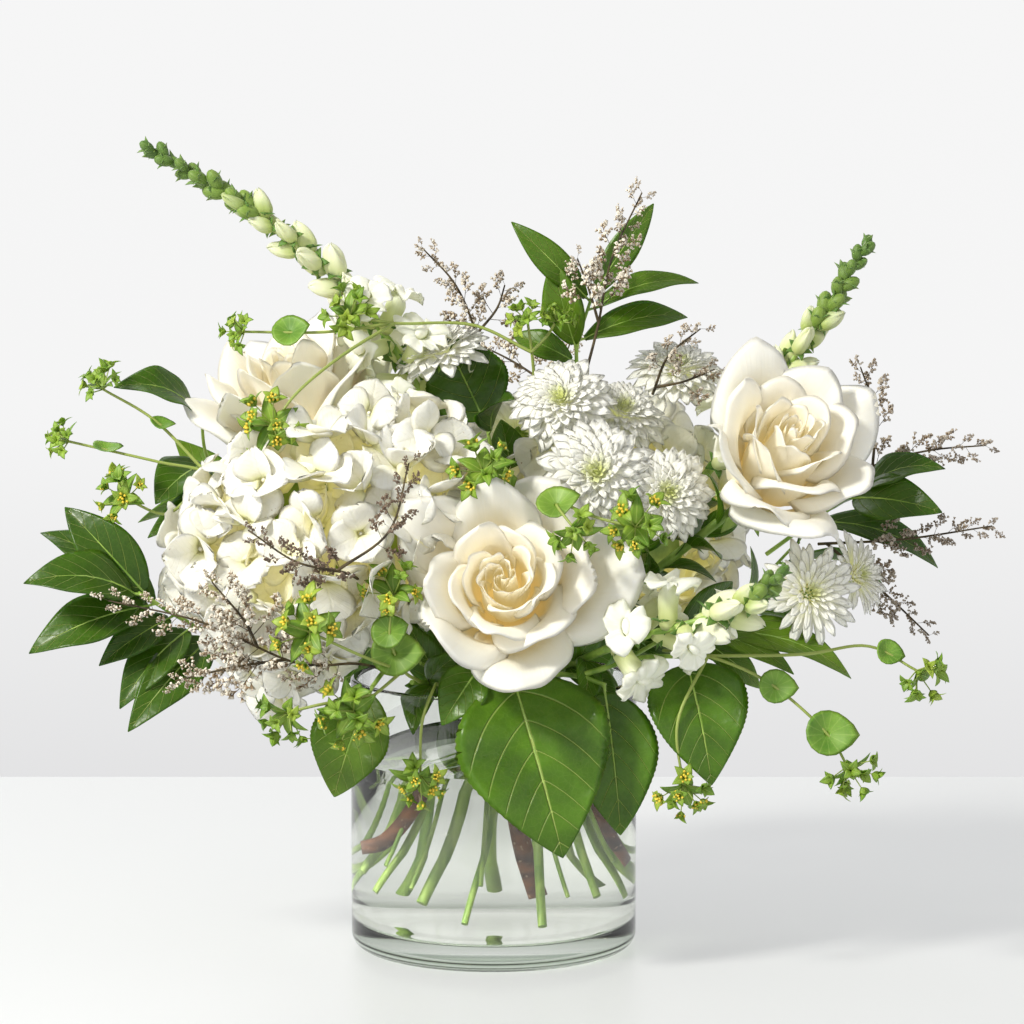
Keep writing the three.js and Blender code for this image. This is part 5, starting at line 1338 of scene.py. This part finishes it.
# %% Thin stems between them, each with a fork and two small leaves: foot, crossing and neck
THIN_STEMS = [
    ((-52, -34, 50), (8, 4, 138), (52, -28, 162)),
    ((-40, -46, 40), (6, 0, 132), (34, 20, 160)),
    ((-6, -56, 44), (0, 2, 134), (-12, 30, 160)),
    ((36, -46, 36), (-4, -4, 136), (-38, -40, 158)),
    ((56, -22, 50), (0, -8, 134), (-40, -10, 160)),
    ((14, 52, 38), (4, -12, 136), (14, -44, 160)),
    ((-50, 28, 44), (6, -8, 136), (44, -36, 160)),
    ((46, 36, 42), (-6, 0, 134), (-34, -22, 160)),
]
STANDING = Matrix.Rotation(-math.pi / 2, 4, "Y")
fork_leaves = Sheets()
for foot, passing, neck in THIN_STEMS:
    line = smooth_route([foot, passing, neck], 14)
    fork = np.array(line[len(line) // 3])
    away = fork + np.array([-0.4 * fork[1], 0.4 * fork[0], -24])
    routes += [line, smooth_route([fork, (fork + away) / 2 + np.array([0, 0, 3]), away], 8)]
    girths += [(1.15, 0.95), (0.6, 0.9)]
    for tilt in (0.5, -0.7):
        grid = blade_grid(10 + 3 * tilt, 5, 5, 7, arch=0.15, fold=0.2, belly=0.7)
        aim = frame_at(fork, away - fork) @ Matrix.Rotation(tilt, 4, "X") @ STANDING
        fork_leaves.sheet(turned_grid(grid, aim), 0.3)

# %% Leaves on the thick stems, above the rim
def stem_leaf(random):
    """A leaf 1 unit long that stands along +Z."""
    leaf = Sheets()
    width, arch = random.uniform(0.42, 0.60), random.uniform(0.05, 0.2)
    grid = blade_grid(1.0, width, 9, 13, arch=arch, fold=0.25, belly=0.8)
    leaf.sheet(turned_grid(grid, STANDING), 0.016)
    return leaf.mesh("stem_leaf", [MATERIALS["leaf_dark"]])


stem_leaves = kinds("stem_leaf", 4, 30, stem_leaf)
foliage = sprig_tree.grow("stem_leaves", wires(leafed, [1.0] * len(leafed)), items=stem_leaves,
                          spacing=9 * MM, start=0.57, end=0.90, size_start=38.0, size_end=34.0,
                          size_jitter=0.2, lean=0.85, lean_jitter=0.35, share_start=0.0,
                          share_end=1.0, seed=8, material=MATERIALS["leaf_dark"])
let_go(stem_leaves)
green = tubes("green_stems", routes, girths, MATERIALS["stem"], 14)
fork_leaves = fork_leaves.mesh("fork_leaves", [MATERIALS["leaf"]])
piece("green_stems_round", [green, foliage, fork_leaves], "stem_green", "green_stems")

# %% Woody stems: name, radius and route
WOODY_STEMS = [
    ("woody_stem_left", 3.4,
     [(-64, -18, 56), (-50, -22, 60), (-30, -26, 78), (-12, -22, 98), (-6, -18, 112)]),
    ("woody_stem_middle", 4.2, [(20, -30, 34), (14, -26, 54), (8, -20, 74), (6, -16, 92)]),
    ("woody_stem_right", 3.2, [(62, -8, 46), (50, -10, 62), (34, -10, 84), (22, -8, 98)]),
]
for name, radius, route in WOODY_STEMS:
    bark = tubes(name, [smooth_route(route, 10)], [(radius * 1.06, radius * 0.94)], MATERIALS["wood"], 14)
    piece(f"{name}_bark", [bark], "stem_woody", name)

# %% [markdown]
# A snapdragon spike is a stem with buds set by the golden angle: tight green points at the tip,
# then fat pale pods, then open two-lipped florets. The sprig tree runs three times along it.

# %% Snapdragon buds and florets
def tight_bud(random):
    """A bud of the tip: small green leaves folded over each other. Grows along +Z, 1 unit long."""
    bud = Sheets()
    bud.shell(bead(0.27, 0.44, 9, 8) + np.array([0, 0, 0.42]), part=0)
    for k in range(5):
        turn = Matrix.Rotation(k * FIFTH_TURN + random.uniform(-0.2, 0.2), 4, "Z")
        stand = Matrix.Rotation(-random.uniform(0.85, 1.15), 4, "Y")
        base = Matrix.Translation((0, 0, 0.02 * MM))
        grid = blade_grid(random.uniform(0.60, 0.90), 0.34, 5, 6, arch=0.16, fold=-0.3)
        bud.sheet(turned_grid(grid, base @ turn @ stand), 0.05, part=2, draw=random.uniform())
    return bud.mesh("tight_bud", [MATERIALS["snapdragon"]])


def pale_pod(random):
    """A pale closed bud, pouched below, with crumpled lips at its end, in its green cup."""
    pod = Sheets()
    turn = np.linspace(0, 2 * math.pi, 20, endpoint=False)
    climb = np.linspace(0, 1, 15)[:, None]
    swell = 0.02 + 0.27 * np.sin(math.pi * np.clip(climb, 0, 1) ** 0.80) ** 0.6
    folds = waves(random, turn, (3, 4, 6), 0.3, np.cos)
    crease = 1 + 0.15 * folds * ease((climb - 0.45) / 0.4)
    for side in (0.5, 1.5):
        crease = crease - 0.2 * np.exp(-((turn - side * math.pi) / 0.3) ** 2)
    bend = 0.22 * climb ** 2
    grid = np.stack([swell * np.cos(turn) * crease + bend, swell * 0.80 * np.sin(turn) * crease,
                     0.9 * climb + 0.05 * folds * climb ** 3], axis=-1)
    pod.shell(grid, part=0)
    add_cup(pod, random, 0.46, 0.42)
    return pod.mesh("pale_pod", [MATERIALS["snapdragon"]])


def add_cup(flower, random, length, stand_up):
    """Five green sepals at the foot of a flower."""
    sepal = blade_grid(length, length * 0.55, 5, 6, arch=0.2)
    for k in range(5):
        turn = Matrix.Rotation(k * FIFTH_TURN + random.uniform(-0.15, 0.15), 4, "Z")
        stand = Matrix.Rotation(-random.uniform(stand_up - 0.1, stand_up + 0.1), 4, "Y")
        flower.sheet(turned_grid(sepal, turn @ stand), 0.03, part=2)


TUBE_SHARE, LIP_SHARE = 0.56, 0.44


def open_floret(random):
    """Two ruffled lips on a pouched tube: two lobes stand up at the back, three fold down in front."""
    turn = np.linspace(0, 2 * math.pi, 49)[None, :]
    v = np.linspace(0, 1, 19)[:, None]
    upper = 1 / (1 + np.exp(9 * (np.cos(turn) + 0.15)))
    lobes_above = np.abs(np.sin(0.95 * (turn - math.pi))) ** 0.45
    lobes_below = np.abs(np.cos(1.5 * turn)) ** 0.45
    lobes = upper * lobes_above + (1 - upper) * lobes_below
    tube_part = np.clip(v / TUBE_SHARE, 0, 1)
    lip = np.clip((v - TUBE_SHARE) / LIP_SHARE, 0, 1)
    pouch = np.maximum(np.cos(turn), 0) * np.exp(-((v - 0.12) / 0.10) ** 2)
    width = 0.07 + 0.13 * tube_part ** 0.6 + 0.06 * pouch
    mouth = np.exp(-((v - 0.60) / 0.10) ** 2)
    reach = 0.13 + 0.23 * lobes
    fold = lip * (0.8 + 1.5 * (1 - upper) + 0.3 * upper)
    out = reach * np.sin(np.minimum(fold, 2.6)) * lip ** 0.7
    back = reach * (np.cos(fold) * 0.55 + 0.10) * lip
    ruffle = waves(random, turn, (6, 9, 13), 0.4)
    x = (width * (1 - 0.68 * mouth) + out) * np.cos(turn)
    y = (width * (1 - 0.15 * mouth) + out * 0.95) * np.sin(turn)
    z = 0.78 * tube_part + back + 0.06 * ruffle * lip ** 1.3 + 0.06 * np.cos(turn) * tube_part
    grid = np.stack([x + 0.034 * ruffle * lip, y + 0.034 * ruffle * lip, z], axis=-1)
    flower = Sheets()
    flower.sheet(grid, 0.012, part=1, draw=random.uniform(), around=True)
    palate = bead(0.14, 0.12, 12, 7) * np.array([0.8, 1.3, 1]) + np.array([0.05, 0, 0.79])
    flower.shell(palate, part=1, draw=1.0)
    add_cup(flower, random, 0.34, 0.55)
    return flower.mesh("open_floret", [MATERIALS["snapdragon"]])


buds = kinds("tight_bud", 3, 110, tight_bud)
pods = kinds("pale_pod", 3, 120, pale_pod)
open_florets = kinds("open_floret", 4, 130, open_floret)

# %% Snapdragon spikes: name, seed, the shares where buds, pods and florets end, and the stem
SNAPDRAGONS = [
    ("snapdragon_upper_left", 31, 0.32, 0.66, 0.98,
     [(-178, -8, 424), (-154, -6, 410), (-122, -4, 389), (-96, 2, 368), (-72, 8, 344), (-48, 10, 312),
      (-30, 8, 276)]),
    ("snapdragon_upper_right", 32, 0.34, 0.70, 0.95,
     [(197, 22, 372), (181, 22, 344), (163, 20, 318), (140, 18, 284), (112, 14, 250)]),
    ("snapdragon_front_right", 33, 0.20, 0.48, 0.95,
     [(142, -122, 214), (126, -116, 199), (104, -106, 190), (82, -96, 182), (58, -78, 171)]),
]


def run_along(name, spine, items, spacing, start, end, size, lean, share, seed):
    """One kind of bud along a stretch of the stem. share says how far it has turned from green."""
    return sprig_tree.grow(name, wires([spine], [1.0]), items=items, spacing=spacing * MM, start=start,
                           end=end, size_start=float(size[0]), size_end=float(size[1]), size_jitter=0.1,
                           lean=lean, lean_jitter=0.15, share_start=float(share[0]),
                           share_end=float(share[1]), seed=seed, material=MATERIALS["snapdragon"])


BACK_LEAN = math.pi - 0.62
for name, seed, tip_end, pod_end, bloom_end, spine in SNAPDRAGONS:
    route = smooth_route(spine, 10)
    meshes = [
        tubes(name, [route], [(0.8, 2.3)], MATERIALS["stem"], 10),
        run_along(name, route, buds, 4.0, 0.0, tip_end, (10.5, 16),
                  BACK_LEAN + 0.1, (0, 0.3), seed),
        run_along(name, route, pods, 6.0, tip_end - 0.06, pod_end, (15, 24),
                  BACK_LEAN - 0.25, (0.42, 0.95), seed + 5),
        run_along(name, route, open_florets, 7.5, pod_end, bloom_end, (27, 32),
                  BACK_LEAN - 0.5, (0.9, 1), seed + 9),
    ]
    piece(f"{name}_spike", meshes, "snapdragon_petal", name)
for group in (buds, pods, open_florets):
    let_go(group)

# %% [markdown]
# Bupleurum ends in loose umbels: each thin ray carries a small star of pointed bracts round a
# dot of yellow flowers. Further down, the stem passes right through its round leaves.

# %% Bupleurum stars, umbels and round leaves
DOTS_OF_A_STAR = 8


def add_star(spray, matrix, size, blooming, random):
    """Five pointed bracts, with a cushion of tiny yellow flowers where it is in bloom."""
    tone = random.uniform()
    for k in range(5):
        turn = Matrix.Rotation(k * FIFTH_TURN + random.uniform(-0.15, 0.15), 4, "Z")
        raise_up = Matrix.Rotation(-random.uniform(0.35, 0.95), 4, "Y")
        length = size * random.uniform(0.65, 1.15)
        grid = blade_grid(length, size * 0.60, 5, 7, arch=0.16, fold=0.20, belly=0.7)
        draw = 0.8 * tone + 0.2 * random.uniform()
        spray.sheet(turned_grid(grid, matrix @ turn @ raise_up), 0.3, draw=draw)
    for k in range(DOTS_OF_A_STAR if blooming and tone > 0.3 else 0):
        a, out = k * GOLDEN_ANGLE, size * 0.13 * k ** 0.5
        place = np.array([out * math.cos(a), out * math.sin(a), size * 0.40])
        spray.shell(turned_grid(bead(size * 0.09, size * 0.12, 5, 4) + place, matrix), part=1)


BLOOMING_SIZE = 17.5
RAYS_OF_AN_UMBEL = 8


def add_umbel(spray, stalks, place, facing, size, random):
    """A collar of bracts, and thin rays above it that each end in a star."""
    frame_here = frame_at(place, facing)
    heart = frame_here.translation
    for k in range(5):
        turn = Matrix.Rotation(k * FIFTH_TURN + random.uniform(0, 0.5), 4, "Z")
        raise_up = Matrix.Rotation(-random.uniform(0.0, 0.5), 4, "Y")
        length = size * random.uniform(0.70, 0.95)
        grid = blade_grid(length, size * 0.40, 5, 8, arch=0.12, belly=0.65)
        spray.sheet(turned_grid(grid, frame_here @ turn @ raise_up), 0.35, draw=random.uniform(0, 0.4))
    for k in range(RAYS_OF_AN_UMBEL):
        tilt = 0.20 + 1.10 * ((k + 0.5) / RAYS_OF_AN_UMBEL) ** 0.6
        a = k * GOLDEN_ANGLE + random.uniform(-0.3, 0.3)
        out = Vector((math.sin(tilt) * math.cos(a), math.sin(tilt) * math.sin(a), math.cos(tilt)))
        tip = frame_here @ (out * size * random.uniform(0.50, 0.80) * MM)
        stalks.append(np.array([heart / MM, (heart + tip) / 2 / MM, tip / MM]))
        star = frame_at(np.array(tip) / MM, frame_here.to_3x3() @ out)
        add_star(spray, star, size * random.uniform(0.38, 0.52), size > BLOOMING_SIZE, random)


def add_round_leaf(spray, place, facing, size, random):
    """A shallow funnel with one pointed side, which the stem passes through."""
    turn = np.linspace(-math.pi, math.pi, 17)[None, :]
    v = np.linspace(0, 1, 7)[:, None]
    radius = size * (0.02 + 0.98 * v) * (1 + 0.34 * np.exp(-(turn / 0.40) ** 2) * v ** 2)
    funnel = size * (0.46 * v ** 1.6 - 0.10 * v ** 4) * (1 + 0.25 * np.cos(2 * turn))
    lift = funnel + 0.05 * size * np.sin(3 * turn + random.uniform(0, 6)) * v ** 2
    grid = np.stack([radius * np.cos(turn), radius * np.sin(turn), lift + 0 * turn], axis=-1)
    spray.sheet(turned_grid(grid, frame_at(place, facing)), 0.4, part=3,
                draw=random.uniform(0, 0.5), around=True)

# %% Bupleurum sprays
# Each spray has stems of (marks of the route, facing of the umbel, size of the umbel, and round
# leaves), and each round leaf has (share of the route, facing, radius).
BUPLEURUMS = [
    ("bupleurum_upper_left", [
        ([(-150, -24, 256), (-178, -20, 284), (-204, -22, 300)], (-0.3, -0.3, 0.9), 12,
         [(0.5, (0.2, -0.4, 0.8), 6)]),
        ([(-136, -34, 238), (-150, -24, 256), (-174, -26, 262), (-222, -26, 273)], (-0.8, -0.3, 0.4), 10,
         [(0.8, (0.1, -0.3, 0.9), 7)]),
        ([(-150, -24, 256), (-170, -34, 236), (-191, -38, 244)], (-0.5, -0.6, 0.5), 14, [])]),
    ("bupleurum_centre", [
        ([(24, -46, 250), (4, -68, 254), (-5, -86, 263)], (0, -0.7, 0.7), 16,
         [(0.75, (-0.2, -0.9, -0.1), 11)]),
        ([(24, -46, 250), (30, -84, 250), (34, -108, 246), (41, -118, 238)], (0.1, -0.8, -0.5), 13,
         [(0.72, (-0.2, -0.7, 0.7), 10)]),
        ([(30, -84, 250), (50, -96, 242), (72, -104, 237)], (0.1, -0.9, 0.3), 15, [])]),
    ("bupleurum_lower_left", [
        ([(-38, -64, 152), (-46, -96, 164), (-52, -102, 180), (-50, -100, 202)], (-0.1, -0.7, 0.6), 14,
         [(0.6, (0, -1, 0.2), 12), (0.75, (-0.3, -0.9, 0.3), 9)]),
        ([(-46, -94, 162), (-66, -120, 174), (-91, -128, 187)], (-0.3, -0.9, 0.3), 17, []),
        ([(-46, -94, 162), (-60, -108, 152), (-70, -114, 145)], (-0.2, -0.9, -0.2), 16, []),
        ([(-60, -108, 152), (-88, -114, 148), (-103, -113, 144)], (-0.5, -0.6, -0.5), 13, [])]),
    ("bupleurum_front", [
        ([(-28, -62, 150), (-30, -82, 152), (-36, -94, 136), (-37, -98, 109)], (0.1, -0.8, -0.5), 14, [])]),
    ("bupleurum_right", [
        ([(88, -62, 168), (110, -82, 168), (140, -90, 156), (172, -94, 128), (181, -94, 113)],
         (0.4, -0.5, -0.7), 13, [(0.55, (0.1, -0.9, 0.3), 9), (0.84, (0.1, -0.9, 0.3), 12)]),
        ([(110, -82, 168), (160, -88, 170), (192, -88, 174), (216, -91, 162)], (0.6, -0.5, -0.5), 13,
         [(0.84, (0.3, -0.8, 0.4), 7)]),
        ([(110, -82, 168), (94, -98, 136), (97, -96, 104)], (0.1, -0.7, -0.6), 14, [])]),
    ("bupleurum_top", [
        ([(22, 4, 300), (20, -2, 320), (18, -5, 334)], (-0.2, -0.5, 0.8), 10, []),
        ([(20, -2, 318), (28, 0, 326), (33, -2, 334)], (0.3, -0.5, 0.8), 9, []),
        ([(20, -2, 318), (-10, 0, 332), (-52, -12, 334), (-75, -17, 338)], (-0.1, -0.7, 0.6), 13, []),
        ([(-52, -12, 334), (-88, -22, 330), (-130, -20, 330)], (-0.8, -0.4, 0.3), 10,
         [(0.7, (-0.2, -0.8, 0.5), 9)]),
        ([(-52, -12, 334), (-80, -44, 318), (-102, -66, 300), (-112, -72, 286)], (-0.2, -0.9, 0.1), 15, [])]),
]
UMBEL_SPREAD = 1.3
for k, (name, stems) in enumerate(BUPLEURUMS):
    random = np.random.default_rng(150 + k)
    spray, stalks = Sheets(), []
    for marks, facing, size, round_leaves in stems:
        route = smooth_route(marks)
        stalks.append(route)
        add_umbel(spray, stalks, marks[-1], facing, UMBEL_SPREAD * size, random)
        for share, face, radius in round_leaves:
            add_round_leaf(spray, spot(route, share), face, radius, random)
    girths = [(0.95, 0.7) if len(route) > 3 else (0.4, 0.3) for route in stalks]
    green = tubes(name, stalks, girths, MATERIALS["bupleurum"], 7, part=2.0)
    piece(f"{name}_umbels", [spray.mesh(name, [MATERIALS["bupleurum"]]), green], "bupleurum_bract", name)

# %% [markdown]
# Sea lavender is a mist of tiny papery florets. A small branch with its florets is made,
# and the sprig tree sets it along every twig, long at the foot and short at the tip. Some sprays
# are older than others, and their florets have browned.

# %% Sea lavender sprigs
def floret_cup(random):
    """A five-sided cup a millimetre or two high."""
    turn = np.linspace(0, 2 * math.pi, 5, endpoint=False)
    size = random.uniform(1.1, 1.7)
    radii = np.array([0.10, 0.34, 0.95, 0.30])[:, None] * size
    rises = np.array([0.0, 0.9, 1.75, 1.45])[:, None] * size
    return np.stack([radii * np.cos(turn), radii * np.sin(turn), rises + 0 * turn], axis=-1)


def lavender_sprig(random):
    """A side branch 20 mm long that grows along +Z, with four finer branches and their florets."""
    sprig = Sheets()
    ring = np.linspace(0, 2 * math.pi, 3, endpoint=False)
    main = np.array([[1.6 * math.sin(k * 0.5), 0.8 * k / 5, 20 * k / 5] for k in range(6)])
    branches = [(main, 1.0)]
    for share, side in ((0.3, 1), (0.5, -1), (0.68, 1), (0.84, -1)):
        root = spot(main, share)
        x, y, z = side * random.uniform(3.6, 5.2), random.uniform(-4, 4), random.uniform(4.5, 6.5)
        out = np.array([x, y, z]) * (1.35 - share)
        branches.append((np.array([root, root + out * 0.5 + [0, 0, -0.4], root + out]), 0.6))
    for route, girth in branches:
        radius = 0.28 * girth * np.linspace(1, 0.6, len(route))[:, None]
        grid = np.stack([radius * np.cos(ring), radius * np.sin(ring), 0 * ring + 0 * radius], axis=-1)
        sprig.shell(grid + route[:, None])
        for share in (np.arange(0.40, 1.01, 0.10) if girth > 0.9 else np.arange(0.30, 1.01, 0.17)):
            place = spot(route, share)
            out = Vector((random.uniform(-1, 1), random.uniform(-1, 1), random.uniform(0.2, 1.2)))
            cup = turned_grid(floret_cup(random), frame_at(place, out))
            sprig.shell(cup, part=1, draw=random.uniform())
    return sprig.mesh("sprig", [MATERIALS["lavender"]])


sprigs = kinds("lavender_sprig", 4, 170, lavender_sprig)

# %% Sea lavender sprays
SPRIG_REACH = 17
# Name, seed, bare share of each twig, reach of a sprig, the main twig, and side twigs that each
# start at a share of the main one.
LAVENDERS = [
    ("lavender_top_left", 51, 0.35, 15,
     [[(-2, 14, 290), (-8, 16, 322), (-20, 18, 352), (-38, 20, 372)],
      [0.4, (2, 20, 340), (6, 22, 352)]]),
    ("lavender_top", 52, 0.35, 15,
     [[(48, -2, 304), (55, -6, 332), (62, -6, 367), (78, -4, 402)],
      [0.3, (50, -12, 352), (44, -14, 368)]]),
    ("lavender_top_right", 53, 0.4, 13,
     [[(84, -4, 296), (92, -22, 318), (108, -26, 332)], [0.1, (100, -20, 304), (116, -16, 310)]]),
    ("lavender_lower_left", 54, 0.2, 17,
     [[(-56, -74, 160), (-70, -94, 166), (-97, -108, 168), (-147, -112, 190), (-194, -106, 200)],
      [0.4, (-128, -116, 168), (-160, -112, 160)], [0.5, (-124, -124, 192), (-140, -126, 212)]]),
    ("lavender_over_hydrangea", 55, 0.35, 13,
     [[(-66, -80, 206), (-76, -116, 216), (-98, -124, 222), (-122, -124, 238)],
      [0.45, (-52, -114, 236), (-42, -108, 270)]]),
    ("lavender_right", 56, 0.3, 15,
     [[(176, 14, 236), (204, 18, 256), (232, 16, 264), (262, 14, 267)],
      [0.35, (204, 22, 284), (196, 24, 308)]]),
    ("lavender_right_low", 57, 0.3, 13,
     [[(172, -2, 216), (216, -14, 220), (262, -22, 228)], [0.05, (206, -18, 192), (228, -36, 172)]]),
    ("lavender_back", 58, 0.3, 15,
     [[(24, 64, 262), (32, 98, 290), (44, 122, 318)], [0.55, (10, 118, 304), (-8, 132, 312)]]),
]
USUAL_BROWN = 0.05
BROWNED = {"lavender_over_hydrangea": 0.95, "lavender_right": 0.5, "lavender_right_low": 0.6,
           "lavender_top_right": 0.3, "lavender_top_left": 0.25}
for name, seed, bare, reach, twigs in LAVENDERS:
    brown = BROWNED.get(name, USUAL_BROWN)
    main = smooth_route(twigs[0])
    routes = [main] + [smooth_route([spot(main, twig[0])] + twig[1:]) for twig in twigs[1:]]
    size = reach / SPRIG_REACH
    mist = sprig_tree.grow(name, wires(routes, [1.0] * len(routes)), items=sprigs,
                           spacing=3.3 * MM, start=bare, end=1.0, size_start=size,
                           size_end=size * 0.45, size_jitter=0.2, lean=0.75, lean_jitter=0.3,
                           share_start=brown, share_end=brown, seed=seed,
                           material=MATERIALS["lavender"])
    twig_mesh = tubes(name, routes, [(0.85, 0.4)] * len(routes), MATERIALS["lavender"], 7)
    piece(f"{name}_sprigs", [mist, twig_mesh], "lavender_floret", name)
let_go(sprigs)

# %% [markdown]
# The stage: a pale table with its far edge behind the vase, and a soft studio round it. The
# backdrop is the world itself, a gradient by height, so that it looks the same from every side.
# The table glows faintly: painted light that lifts the shadows on it and keeps them soft.

# %% The table
def draw_table(g):
    colour = g.mix(mottling(g, 2.0, 2), shade("aeb0b2"), shade("b4b6b8"))
    # Painted light: the table glows a little, which lifts the shadows on it.
    return {"Base Color": colour, "Roughness": 0.35,
            "Emission Color": (0.98, 0.99, 1.0, 1.0), "Emission Strength": 0.32}


TABLE_SIDE, TABLE_FRONT, TABLE_BACK, TABLE_THICK = 2.5, -2.6, 0.495, 0.04
table_mesh = bpy.data.meshes.new("table")
plan = [(-TABLE_SIDE, TABLE_FRONT), (TABLE_SIDE, TABLE_FRONT),
        (TABLE_SIDE, TABLE_BACK), (-TABLE_SIDE, TABLE_BACK)]
table_points = [(x, y, z) for z in (-TABLE_THICK, 0.0) for x, y in plan]
table_sides = [(k, (k + 1) % 4, (k + 1) % 4 + 4, k + 4) for k in range(4)]
table_mesh.from_pydata(table_points, [], [(3, 2, 1, 0), (4, 5, 6, 7), *table_sides])
table_mesh.materials.append(finish("table_top", draw_table))
table = bpy.data.objects.new("table", table_mesh)
bpy.context.scene.collection.objects.link(table)

# %% The studio round it: colours by height, from below to above
world = bpy.data.worlds.new("studio")
world.use_nodes = True
bpy.context.scene.world = world
g = Graph(world.node_tree)
direction = g.node("ShaderNodeTexCoord").of("Generated")
height = g.node("ShaderNodeSeparateXYZ", {}, {0: direction}).of("Z")
sky = g.node("ShaderNodeValToRGB", {"stops": [
    (0.0, shade("d2d2d3")), (0.40, shade("dfdfe0")), (0.455, shade("f5f5f5")),
    (0.56, shade("f7f7f7")), (0.72, shade("bcbcba")), (1.0, shade("a8a8a6"))]},
    {"Fac": height * 0.5 + 0.5})
backdrop = g.node("ShaderNodeBackground", {}, {"Color": sky, "Strength": 1.0})
g.node("ShaderNodeOutputWorld", {}, {"Surface": backdrop})

# %% Lamps: a small key from the left for crisp shadows, a weak fill, and a rim from behind
def softbox(name, place, target, size, power, tone="ffffff"):
    """A rectangular lamp in metres and watts that points at a target."""
    data = bpy.data.lights.new(name, "AREA")
    data.shape = "RECTANGLE"
    data.size, data.size_y = size
    data.energy = power
    data.color = shade(tone)
    lamp = bpy.data.objects.new(name, data)
    lamp.location = place
    lamp.rotation_euler = (Vector(target) - Vector(place)).to_track_quat("-Z", "Y").to_euler()
    bpy.context.scene.collection.objects.link(lamp)
    print(f"{name} lamp: {power} W over {size[0]} by {size[1]} m")


softbox("key", (-1.45, -1.35, 1.75), (0, 0, 0.2), (0.45, 0.45), 66, "fffcf2")
softbox("fill", (1.6, -1.6, 1.2), (0, 0, 0.2), (1.6, 1.6), 3)
softbox("rim", (-0.6, 1.2, 1.3), (0, 0, 0.25), (1.0, 1.0), 6)

bpy.context.scene.view_settings.view_transform = "Standard"
bpy.context.scene.view_settings.look = "None"
